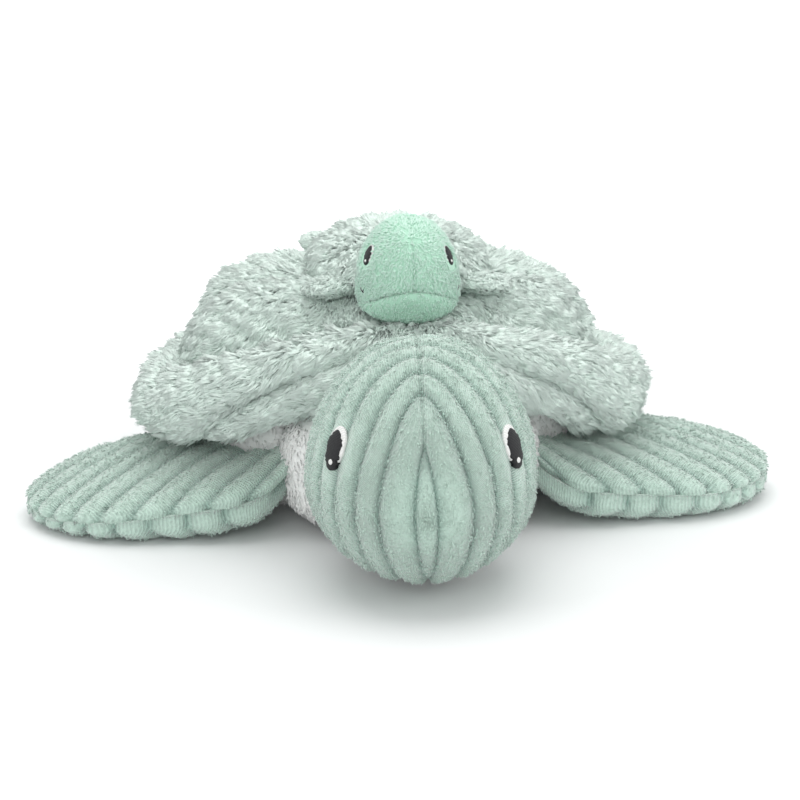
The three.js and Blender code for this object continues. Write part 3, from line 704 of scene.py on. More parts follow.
@dataclass
class Pile:
    """Strands that stand on a cloth: each a slim closed sliver, bent at its widest place."""

    length: float
    width: float
    lift: float = 0.55
    clump: float = 0.5
    clump_gap: float = 5.0
    wildness: float = 0.35
    stray: float = 1.4
    swirl_size: float = 26.0
    seed: int = 1
    carry: tuple[str, ...] = ()
    bend_share: float = 0.42
    quick_share: int = 10
    crowd: float = 2.5

    def grow(self, name: str, ground: bpy.types.Object, count: int, nap: Shape,
             density: Callable[[np.ndarray, np.ndarray], np.ndarray]) -> bpy.types.Object:
        """Grows the strands on a cloth.

        Args:
            name: The piece's name.
            ground: The cloth.
            count: How many strands.
            nap: The way the fur is brushed at each root, in millimetres.
            density: How thickly it grows, from places and outward directions.

        Returns:
            The pile as one piece.
        """
        rng = np.random.default_rng(self.seed)
        chosen = self.roots(ground, count, density, rng)
        roots, outward_way = chosen.places, chosen.ways
        way = nap(roots)
        way = way - outward_way * np.sum(way * outward_way, axis=1, keepdims=True)
        way = unit(unit(way) + self.wildness * self.swirl(roots))
        way = unit(way - outward_way * np.sum(way * outward_way, axis=1, keepdims=True))
        length = self.length * rng.uniform(0.7, 1.15, (len(roots), 1))
        stand = np.clip(self.lift + rng.normal(0, 0.12, (len(roots), 1)), 0.1, 1)
        first = unit(outward_way * stand + way * (1 - stand) + rng.normal(0, 0.12, roots.shape))
        bend = roots + first * length * self.bend_share
        second = unit(outward_way * stand * 0.6 + way * (1.1 - stand) + rng.normal(0, 0.16, roots.shape))
        tips = bend + second * length * (1 - self.bend_share)
        bend, tips = self.gathered(roots, bend, tips, rng)
        return self.spindles(name, chosen, bend, tips, rng)

    def roots(self, ground: bpy.types.Object, count: int,
              density: Callable[[np.ndarray, np.ndarray], np.ndarray],
              rng: np.random.Generator) -> Roots:
        """Chooses where the strands stand, evenly by area.

        Args:
            ground: The cloth.
            count: How many strands.
            density: How thickly the pile grows.
            rng: The source of chance.

        Returns:
            The roots.
        """
        mesh = ground.data
        mesh.calc_loop_triangles()
        corners = np.empty(len(mesh.loop_triangles) * 3, np.int64)
        mesh.loop_triangles.foreach_get("vertices", corners)
        corners = corners.reshape(-1, 3)
        places = places_of(mesh)
        normals = np.empty(len(mesh.vertices) * 3)
        mesh.vertex_normals.foreach_get("vector", normals)
        normals = normals.reshape(-1, 3)
        a, b, c = (places[corners[:, i]] for i in range(3))
        area = np.linalg.norm(np.cross(b - a, c - a), axis=1)
        area = area * np.clip(density((a + b + c) / 3, normals[corners].mean(axis=1)), 0, None)
        chosen = rng.choice(len(corners), size=count, p=area / area.sum())
        share = rng.random((count, 2))
        share = np.where(share.sum(axis=1, keepdims=True) > 1, 1 - share, share)
        weights = np.column_stack([1 - share.sum(axis=1), share])[:, :, None]
        picked = corners[chosen]
        marks = {name: (marks_of(mesh, name)[picked] * weights[:, :, 0]).sum(axis=1) for name in self.carry}
        ways = unit((normals[picked] * weights).sum(axis=1))
        return Roots((places[picked] * weights).sum(axis=1), ways, marks)

    def swirl(self, roots: np.ndarray) -> np.ndarray:
        """Slow changes of the brushed direction."""
        return np.column_stack([lumps(roots, self.swirl_size, self.seed * 10 + i) for i in range(3)])

    def gathered(self, roots: np.ndarray, bend: np.ndarray, tips: np.ndarray,
                 rng: np.random.Generator) -> tuple[np.ndarray, np.ndarray]:
        """Draws the strands together into small clumps.

        Args:
            roots: Where the strands stand.
            bend: Their widest places.
            tips: Their tips.
            rng: The source of chance.

        Returns:
            The moved widest places and tips.
        """
        spread = self.clump_gap ** 2
        box = roots.max(axis=0) - roots.min(axis=0)
        skin = box[0] * box[1] + box[1] * box[2] + box[0] * box[2]
        many = int(min(len(roots) / 5, self.crowd * skin / spread))
        heads = rng.choice(len(roots), size=max(many, 4), replace=False)
        tree = kdtree.KDTree(len(heads))
        for i, head in enumerate(heads):
            tree.insert(roots[head], i)
        tree.balance()
        group = np.array([tree.find(root)[1] for root in roots])
        nearest = heads[group]
        pull = self.clump * rng.uniform(0.4, 1.0, (len(roots), 1))
        shift = tips[nearest] + rng.normal(0, self.stray, (len(heads), 3))[group] - tips
        far = np.linalg.norm(roots[nearest] - roots, axis=1, keepdims=True)
        pull = pull * np.clip(1.6 - far / self.clump_gap, 0, 1)
        return bend + shift * pull * 0.35, tips + shift * pull

    def spindles(self, name: str, chosen: Roots, bend: np.ndarray, tips: np.ndarray,
                 rng: np.random.Generator) -> bpy.types.Object:
        """Repeats one closed sliver of four faces along every strand.

        Args:
            name: The piece's name.
            chosen: Where the strands stand.
            bend: Their widest places.
            tips: Their tips.
            rng: The source of chance.

        Returns:
            The pile as one piece.
        """
        roots, outward_way = chosen.places, chosen.ways
        line = unit(tips - roots)
        side = unit(np.cross(line, outward_way) + 1e-6)
        half = self.width * 0.5 * rng.uniform(0.7, 1.3, (len(roots), 1))
        foot = roots - outward_way * 0.5
        crown = bend + np.cross(side, line) * half * 0.5
        corners = np.stack([foot, crown - half * side, crown + half * side, tips], axis=1)
        turned_in = np.sum(np.cross(corners[:, 1] - foot, corners[:, 2] - foot) * (tips - foot), axis=1) < 0
        corners[turned_in, 1], corners[turned_in, 2] = corners[turned_in, 2], corners[turned_in, 1].copy()
        count = len(roots)
        sides = np.array([[0, 2, 1], [0, 1, 3], [0, 3, 2], [1, 2, 3]])
        loops = (sides[None] + 4 * np.arange(count)[:, None, None]).reshape(-1)
        mesh = bpy.data.meshes.new(name)
        mesh.vertices.add(count * 4)
        mesh.vertices.foreach_set("co", (corners * MM).ravel())
        mesh.loops.add(len(loops))
        mesh.loops.foreach_set("vertex_index", loops.astype(np.int32))
        mesh.polygons.add(count * 4)
        mesh.polygons.foreach_set("loop_start", np.arange(0, len(loops), 3, dtype=np.int32))
        mesh.update(calc_edges=True)
        self.soften(mesh, np.repeat(outward_way, 4, axis=0))
        piece = bpy.data.objects.new(name, mesh)
        bpy.context.scene.collection.objects.link(piece)
        # The tip value, 0 at the root and 1 at the tip, carries the painted shade of the fur finishes.
        tip = np.tile([0.0, 0.45, 0.45, 1.0], count)
        tone = np.repeat(rng.random(count), 4)
        keep_values(piece, {"tip": tip, "tone": tone})
        keep_values(piece, {mark: np.repeat(numbers, 4) for mark, numbers in chosen.marks.items()})
        return piece

    @staticmethod
    def soften(mesh: bpy.types.Mesh, outward_way: np.ndarray) -> None:
        """Lets the strands take light a little as the cloth under them does.

        Args:
            mesh: The strands.
            outward_way: The cloth's outward direction at each vertex.
        """
        own = np.empty(len(mesh.vertices) * 3)
        mesh.vertex_normals.foreach_get("vector", own)
        mixed = unit(own.reshape(-1, 3) * (1 - CLOTH_SHARE) + outward_way * CLOTH_SHARE)
        mesh.shade_smooth()
        mesh.normals_split_custom_set_from_vertices(mixed.tolist())


LONG_FUR = Pile(length=8.0, width=0.38, lift=0.25, clump=0.55, clump_gap=7.0, wildness=0.45, stray=1.4,
                swirl_size=20)
BABY_FUR = Pile(length=6.6, width=0.38, lift=0.3, clump=0.55, clump_gap=6.0, wildness=0.5, stray=1.4,
                swirl_size=16, seed=51)
BABY_FLIPPER_FUR = Pile(length=4.0, width=0.36, lift=0.3, clump=0.5, clump_gap=3.5, stray=0.8, seed=53)
BELLY_FUR = Pile(length=3.6, width=0.85, lift=0.35, clump=0.4, clump_gap=3.0, stray=0.5, seed=40)
CHIN_FUR = Pile(length=3.2, width=0.85, lift=0.35, clump=0.4, clump_gap=3.0, stray=0.5, seed=45)
# The loose ends carry the rib value so that they take the painted furrow shade of the cloth.
CORD_NAP = Pile(length=1.8, width=0.5, lift=0.5, clump=0.4, clump_gap=1.6, stray=0.25, carry=("rib",))
VELOUR_NAP = Pile(length=2.0, width=0.5, lift=0.4, clump=0.35, clump_gap=1.8, wildness=0.5, stray=0.3,
                  seed=52)


# Shell


@dataclass(frozen=True)
class RimFold:
    """The lengthwise fold along each side of the rim's front, and the sag under it.

    Depths are in millimetres. Places round the shell and round the roll are in radians.
    """

    depth: float = 11.0
    width: float = 0.27
    middle: float = 0.62
    length: float = 0.36
    start: tuple[float, float] = (0.35, 0.3)
    fall: float = 2.4
    sag: float = 4.5
    sag_middle: float = 0.85
    sag_length: float = 0.4

    def swell(self, angle: np.ndarray, lean: np.ndarray) -> np.ndarray:
        """How far the roll stands out or in.

        Args:
            angle: Round the shell, 0 at the front.
            lean: Round the roll, 0 at its outer side.

        Returns:
            Millimetres, below 0 in the fold.
        """
        turn = np.abs(angle)
        fold_at = self.start[1] - self.fall * (turn - self.start[0])
        fold = self.depth * bell(turn - self.middle, self.length) * bell(lean - fold_at, self.width)
        under = np.maximum(0, -np.sin(lean))
        return self.sag * bell(turn - self.sag_middle, self.sag_length) * under - fold


@dataclass
class Shell:
    """The furry shell: a domed back inside a padded rim, over a white belly."""

    half_width: float = 121.0
    front: float = 86.0
    rear: float = 127.0
    middle_y: float = 8.0
    rim_width: tuple[float, float] = (18.0, 15.0)
    rim_height: tuple[float, float] = (16.5, 17.0)
    rim_level: tuple[float, float, float] = (51.0, 84.0, 46.0)
    front_power: float = 1.8
    dome_inset: float = 22.0
    dome_power: tuple[float, float] = (0.25, 0.5)
    dome_top: float = 111.0
    dome_front_inset: float = 5.0
    dome_shift: float = -1.5
    shift: float = -2.0
    belly_inset: float = 33.0
    core: float = 60.0
    fold: RimFold = RimFold()
    seams: tuple[float, ...] = (0, 84, -90, 150, -150)
    seam_depth: float = 5.0
    seam_width: float = 8.0
    seat_depth: float = 3.5
    seat: tuple[float, float] = (38, 48)
    dome_strands: int = 105000
    rim_strands: int = 27000

    def plan(self, angle: np.ndarray, inset: np.ndarray | float) -> tuple[np.ndarray, np.ndarray]:
        """The shell's outline from above.

        Args:
            angle: Round the shell, 0 at the front.
            inset: How far inside the outline.

        Returns:
            X and y.
        """
        reach = np.where(np.cos(angle) > 0, self.front, self.rear) - inset
        return self.shift + (self.half_width - inset) * np.sin(angle), self.middle_y - reach * np.cos(angle)

    def level(self, angle: np.ndarray) -> np.ndarray:
        """How high the rim runs.

        Args:
            angle: Round the shell, 0 at the front.

        Returns:
            The heights of the roll's middle.
        """
        side, front, rear = self.rim_level
        ahead = np.maximum(0, np.cos(angle)) ** self.front_power
        behind = np.maximum(0, -np.cos(angle))
        return side + (front - side) * ahead + (rear - side) * behind

    def rim_shape(self, grow: float) -> Shape:
        """The rim as a stuffed roll with a lengthwise fold.

        Args:
            grow: How far outside the bare roll, in millimetres.

        Returns:
            A function from the places on a ring to those on the rim.
        """
        def shape(points: np.ndarray) -> np.ndarray:
            """Gives the places on the ring their places on the rim.

            Args:
                points: Places on the ring.

            Returns:
                The places in millimetres.
            """
            angle = np.arctan2(points[:, 0], -points[:, 1])
            away = np.hypot(points[:, 0], points[:, 1]) - RING_MIDDLE
            lean = np.arctan2(points[:, 2], away)
            ahead = np.maximum(0, np.cos(angle)) ** 2
            wide = self.rim_width[0] + (self.rim_width[1] - self.rim_width[0]) * ahead
            high = self.rim_height[0] + (self.rim_height[1] - self.rim_height[0]) * ahead
            mark = np.column_stack([80 * np.sin(angle), 80 * np.cos(angle), 20 * lean])
            swell = grow + 1.6 * lumps(mark, 55, 3) + 0.8 * lumps(mark, 22, 4)
            mark = np.column_stack([115 * np.sin(angle), 115 * np.cos(angle), 18 * lean])
            swell = swell + self.fold.swell(angle, lean) + tufts(mark)
            x, y = self.plan(angle, self.rim_width[0] - (wide + swell) * np.cos(lean))
            return np.column_stack([x, y, self.level(angle) + (high + swell) * np.sin(lean)])
        return shape

    def top(self, x: np.ndarray, y: np.ndarray) -> np.ndarray:
        """The height of the dome over its plan, with the seams between its panels.

        Args:
            x: Places across.
            y: Places along.

        Returns:
            The heights.
        """
        away = np.hypot(x, y - self.middle_y)
        wide, long = self.seat
        dip = self.seat_depth * bell(x, wide) * bell(y - self.middle_y, long)
        near = away.copy()
        for seam in self.seams:
            turn = math.radians(seam)
            along = x * math.sin(turn) - (y - self.middle_y) * math.cos(turn)
            across = x * math.cos(turn) + (y - self.middle_y) * math.sin(turn)
            near = np.minimum(near, np.where(along > 0, np.abs(across), away))
        crease = self.seam_depth * bell(near, self.seam_width) * np.minimum(1, away / 50)
        ends = 0.0095 * np.minimum(0, y + 5) ** 2 + 0.004 * np.maximum(0, y - 40) ** 2
        return self.dome_top - dip - ends - crease

    def dome_shape(self, grow: float) -> Shape:
        """The domed back: full panels drawn in at their seams.

        Args:
            grow: How far outside the bare dome, in millimetres.

        Returns:
            A function from unit points to places on the dome.
        """
        def shape(points: np.ndarray) -> np.ndarray:
            """Gives unit points their places on the dome.

            Args:
                points: Unit points.

            Returns:
                The places in millimetres.
            """
            angle = np.arctan2(points[:, 0], -points[:, 1])
            row = np.arccos(np.clip(points[:, 2], -1, 1)) / (math.pi / 2)
            rest = self.level(angle)
            power = self.dome_power[1] + (self.dome_power[0] - self.dome_power[1]) * np.sin(angle) ** 2
            row = np.where(row < 1, np.sin(math.pi / 2 * np.minimum(row, 1)) ** (0.6 / power), row)
            spread = np.where(row < 1, np.sin(math.pi / 2 * np.minimum(row, 1)) ** power, 2 - row)
            drawn = self.dome_inset + self.dome_front_inset * np.maximum(0, np.cos(angle))
            edge_x, edge_y = self.plan(angle, drawn - grow)
            x = (edge_x + self.dome_shift) * spread
            y = self.middle_y + (edge_y - self.middle_y) * spread
            rise = np.cos(math.pi / 2 * np.minimum(row, 1))
            z = rest + (self.top(x, y) + grow - rest) * rise
            z = np.where(row < 1, z, rest * spread + self.core * (1 - spread))
            out = np.column_stack([x, y, z])
            wobble = 1.5 * lumps(out, 40, 6) + 0.8 * lumps(out, 17, 7) + tufts(out)
            out += wobble[:, None] * unit(out - [0, self.middle_y, 50]) * rise[:, None] ** 0.5
            return out
        return shape

    def belly_shape(self, grow: float) -> Shape:
        """The belly: a flat-bottomed bowl under the rim.

        Args:
            grow: How far outside the bare bowl, in millimetres.

        Returns:
            A function from unit points to places on the belly.
        """
        def shape(points: np.ndarray) -> np.ndarray:
            """Gives unit points their places on the belly.

            Args:
                points: Unit points.

            Returns:
                The places in millimetres.
            """
            angle = np.arctan2(points[:, 0], -points[:, 1])
            row = 2 * np.arccos(np.clip(-points[:, 2], -1, 1)) / (math.pi / 2)
            high = self.level(angle) - 12
            lean = math.pi / 2 * np.clip(row - 1, 0, 1)
            spread = np.where(row < 1, 0.6 * row, 0.6 + 0.4 * np.sin(lean))
            spread = np.where(row > 2, 1 - (row - 2) / 2, spread)
            edge_x, edge_y = self.plan(angle, self.belly_inset - grow)
            z = high * (1 - np.cos(lean))
            z = np.where(row > 2, high * spread + self.core * (1 - spread), z)
            y = self.middle_y + (edge_y - self.middle_y) * spread
            return np.column_stack([edge_x * spread, y, z])
        return shape

    @staticmethod
    def brushed(points: np.ndarray) -> np.ndarray:
        """The shell's nap: outwards from the middle and down.

        Args:
            points: The roots of the strands.

        Returns:
            The brushed direction at each.
        """
        way = points - [0, 12, 0]
        way[:, 2] = -35
        return unit(way)

    @staticmethod
    def rim_brushed(points: np.ndarray) -> np.ndarray:
        """The rim's nap: out and down, swept back at the front.

        Args:
            points: The roots of the strands.

        Returns:
            The brushed direction at each.
        """
        way = unit((points - [0, 12, 0]) * [1, 1, 0])
        tangent = np.column_stack([-way[:, 1], way[:, 0], np.zeros(len(way))])
        tangent *= np.sign(points[:, :1]) * 0.7
        return way + tangent * (way[:, 1:2] < 0.2) - [0, 0, 0.55]

    def build(self, finishes: Finishes) -> None:
        """Builds the dome, the rim, the belly and their pile.

        Args:
            finishes: The materials.
        """
        dome = finished(ball(300, 200), "shell_dome", self.dome_shape(-1.8))
        dress(dome, finishes.long_ground, "torso",
              ("shell_dome_cover", "body_stuffing"))
        rim = finished(tyre(360, 66), "shell_rim", self.rim_shape(-1.0))
        dress(rim, finishes.long_ground, "torso",
              ("shell_rim_cover", "shell_rim_stuffing"))
        belly = finished(ball(100, 80), "belly", self.belly_shape(-0.6))
        dress(belly, finishes.white_ground, "torso", ("belly_panel",))
        chest = finished(ball(96, 64), "chest", pillow((0, -26, 31.5), (59.4, 43.4, 31.4), 3.2))
        dress(chest, finishes.white_ground, "torso")
        self.grow_dome(finishes, dome)
        self.grow_rim(finishes, rim)
        self.grow_white(finishes, belly, chest)

    def grow_dome(self, finishes: Finishes, dome: bpy.types.Object) -> None:
        """Grows the pile of the dome's panels.

        Args:
            finishes: The materials.
            dome: The dome's cloth.
        """
        for index, (name, low, high) in enumerate((("front_left", 0, 84), ("front_right", -90, 0),
                                                   ("side_left", 84, 150), ("side_right", -150, -90),
                                                   ("rear", 150, 210))):
            pile = replace(LONG_FUR, seed=20 + index)
            strands = int(self.dome_strands * (high - low) / 360)

            def here(places: np.ndarray, ways: np.ndarray, low: int = low, high: int = high) -> np.ndarray:
                """Keeps the strands to one panel, off the underside and the baby's seat.

                Args:
                    places: Where strands could stand.
                    ways: The outward directions there.
                    low: The angle where the panel starts.
                    high: The angle where it ends.

                Returns:
                    How thickly they grow.
                """
                turn = np.degrees(np.arctan2(places[:, 0], -(places[:, 1] - self.middle_y))) % 360
                middle = (low + high) / 2 % 360
                gap = np.abs((turn - middle + 180) % 360 - 180)
                under_baby = np.hypot(places[:, 0], places[:, 1] - 12) < 40
                return (gap < (high - low) / 2) * (ways[:, 2] > -0.1) * (1 - 0.9 * under_baby)

            fur = pile.grow(f"shell_dome_pile_{name}", dome, strands, self.brushed, here)
            dress(fur, finishes.long_pile, "torso")

    def grow_rim(self, finishes: Finishes, rim: bpy.types.Object) -> None:
        """Grows the pile of the rim in four lengths.

        Args:
            finishes: The materials.
            rim: The rim's cloth.
        """
        for index, middle in enumerate((0, 90, 180, 270)):
            pile = replace(LONG_FUR, seed=30 + index)

            def here(places: np.ndarray, ways: np.ndarray, middle: int = middle) -> np.ndarray:
                """Keeps the strands to one quarter and off the side sewn to the body.

                Args:
                    places: Where strands could stand.
                    ways: The outward directions there.
                    middle: The angle of the quarter's middle.

                Returns:
                    How thickly they grow.
                """
                turn = np.degrees(np.arctan2(places[:, 0], -(places[:, 1] - self.middle_y)))
                gap = np.abs((turn - middle + 180) % 360 - 180)
                out = unit((places - [0, self.middle_y, 0]) * [1, 1, 0])
                return (gap < 45) * (np.sum(ways * out, axis=1) > -0.72)

            fur = pile.grow(f"shell_rim_pile_{index + 1}", rim, self.rim_strands, self.rim_brushed, here)
            dress(fur, finishes.long_pile, "torso")

    def grow_white(self, finishes: Finishes, belly: bpy.types.Object, chest: bpy.types.Object) -> None:
        """Grows the short white pile of the underside.

        Args:
            finishes: The materials.
            belly: The belly's cloth.
            chest: The chest's cloth.
        """
        def below(places: np.ndarray, ways: np.ndarray) -> np.ndarray:
            """Off the floor and the hidden top."""
            return (places[:, 2] > 2.5) * (ways[:, 2] < 0.75)

        def down(points: np.ndarray) -> np.ndarray:
            """Brushed down and forwards."""
            return np.tile([0.0, -0.5, -1.0], (len(points), 1))

        for name, ground, count in (("belly_pile", belly, 4500), ("chest_pile", chest, 9000)):
            fur = BELLY_FUR.grow(name, ground, count, down, below)
            dress(fur, finishes.white_pile, "torso")


def pillow(centre: tuple[float, float, float], radii: tuple[float, float, float], power: float) -> Shape:
    """A blown-up box.

    Args:
        centre: Its middle.
        radii: Half its sizes.
        power: 2 for an ellipsoid, more for a squarer form.

    Returns:
        A function from unit points to places on it.
    """
    def shape(points: np.ndarray) -> np.ndarray:
        """Gives unit points their places.

        Args:
            points: Unit points.

        Returns:
            The places in millimetres.
        """
        lean = np.arccos(np.clip(-points[:, 2], -1, 1))
        turn = np.arctan2(points[:, 1], points[:, 0])

        def bulge(value: np.ndarray) -> np.ndarray:
            """Pushes a sine or cosine outwards."""
            return np.sign(value) * np.abs(value) ** (2 / power)

        ring = bulge(np.sin(lean))
        return np.array(centre) + np.array(radii) * np.column_stack(
            [ring * bulge(np.cos(turn)), ring * bulge(np.sin(turn)), -bulge(np.cos(lean))])
    return shape


# Head


@dataclass
class EyeSpot:
    """An embroidered eye on an egg: where it lies and how large it is."""

    direction: tuple[float, float, float]
    half_width: float
    half_height: float
    tilt: float = 6.0
    yaw: float = 0.0


@dataclass
class Egg:
    """A head's form: an ellipsoid that is taller over its middle than under it."""

    centre: tuple[float, float, float]
    radii: tuple[float, float, float]
    below: float
    jowl: float = 0.0

    def at(self, way: np.ndarray, grow: np.ndarray | float = 0.0) -> np.ndarray:
        """Places on the skin.

        Args:
            way: Unit directions from the middle.
            grow: How far outside the bare skin.

        Returns:
            The places.
        """
        grow = np.broadcast_to(np.asarray(grow, float), (len(way),))
        low = np.minimum(way[:, 2], 0) ** 2
        across = (self.radii[0] + grow) * (1 + self.jowl * 4 * low * (1 - low))
        along = self.radii[1] + grow
        high = np.where(way[:, 2] > 0, self.radii[2], self.below) + grow
        return np.array(self.centre) + way * np.column_stack([across, along, high])

    def towards(self, places: np.ndarray) -> np.ndarray:
        """The directions in which places near the skin lie.

        Args:
            places: The places.

        Returns:
            Unit directions, as at takes them.
        """
        away = places - np.array(self.centre)
        high = np.where(away[:, 2] > 0, self.radii[2], self.below)
        return unit(away / np.column_stack([np.full(len(away), self.radii[0]),
                                            np.full(len(away), self.radii[1]), high]))

    def spot(self, eye: EyeSpot, side: Side) -> tuple[np.ndarray, np.ndarray, np.ndarray]:
        """An eye's place on one side.

        Args:
            eye: The eye.
            side: Which side.

        Returns:
            Its middle, and the directions across and up it.
        """
        way = turned(unit(np.array([eye.direction]) * [side.value, 1, 1]), (0, 0), eye.yaw)
        foot = self.at(way)[0]
        normal = unit(way / np.array(self.radii))[0]
        up = unit(np.array([[0, 0, 1.0] - normal * normal[2]]))[0]
        tilt = math.radians(-eye.tilt * side.value)
        up = np.array(Matrix.Rotation(tilt, 3, Vector(normal)) @ Vector(up))
        return foot, np.cross(up, normal), up


@dataclass
class Embroidery:
    """The raised satin stitches of one eye."""

    egg: Egg
    eye: EyeSpot
    depth: float
    place: Shape
    stitch: float = 0.7
    white_rim: float = 0.45

    def patch(self, name: str, side: Side, size: tuple[float, float], shift: tuple[float, float],
              raised: float, ragged: float) -> bpy.types.Object:
        """A padded oval that lies on the egg.

        Args:
            name: The piece's name.
            side: Which eye.
            size: Half its width and height.
            shift: How far it lies from the eye's middle.
            raised: How far its middle stands off the cloth.
            ragged: How uneven the ends of its stitches are.

        Returns:
            The piece.
        """
        foot, across, up = self.egg.spot(self.eye, side)
        rng = np.random.default_rng(7)
        rows = rng.uniform(-1, 1, 200)

        def shape(points: np.ndarray) -> np.ndarray:
            """Gives unit points their places on the oval.

            Args:
                points: Unit points.

            Returns:
                The places in millimetres.
            """
            row = ((points[:, 1] + 1) * size[1] / self.stitch).astype(int) % len(rows)
            wide = size[0] * (1 + ragged * rows[row])
            flat = foot + across * (shift[0] + points[:, :1] * wide[:, None])
            flat = flat + up * (shift[1] + points[:, 1:2] * size[1])
            level = np.where(points[:, 2] > 0, raised * np.abs(points[:, 2]) ** 0.6, -self.depth)
            return self.place(self.egg.at(self.egg.towards(flat), level))

        piece = finished(ball(64, 24), name, shape)
        keep_values(piece, {"stitch": places_of(piece.data)[:, 2]})
        return piece

    def build(self, prefix: str, side: Side, body: str, finishes: Finishes) -> None:
        """Builds the white, the black and the glint of one eye.

        Args:
            prefix: How the eye's pieces are named.
            side: Which eye.
            body: The body that it rides on.
            finishes: The materials.
        """
        eye = self.eye
        lift = (-side.value * 0.15 * eye.half_width, 0.22 * eye.half_height)
        white = self.patch(f"{prefix}_white_stitches", side,
                           (eye.half_width + self.white_rim, eye.half_height),
                           lift, self.depth * 0.35, 0.05)
        dress(white, finishes.white_thread, body, (f"{prefix}_white",))
        black = self.patch(f"{prefix}_black_stitches", side, (eye.half_width, eye.half_height),
                           (0, 0), self.depth * 0.8, 0.14)
        dress(black, finishes.black_thread, body, (f"{prefix}_pupil",))
        glint = self.patch(f"{prefix}_glint_stitches", side,
                           (eye.half_width * 0.26, eye.half_height * 0.15),
                           (-side.value * 0.1 * eye.half_width, -0.58 * eye.half_height),
                           self.depth * 1.1, 0.1)
        dress(glint, finishes.white_thread, body, (f"{prefix}_glint",))


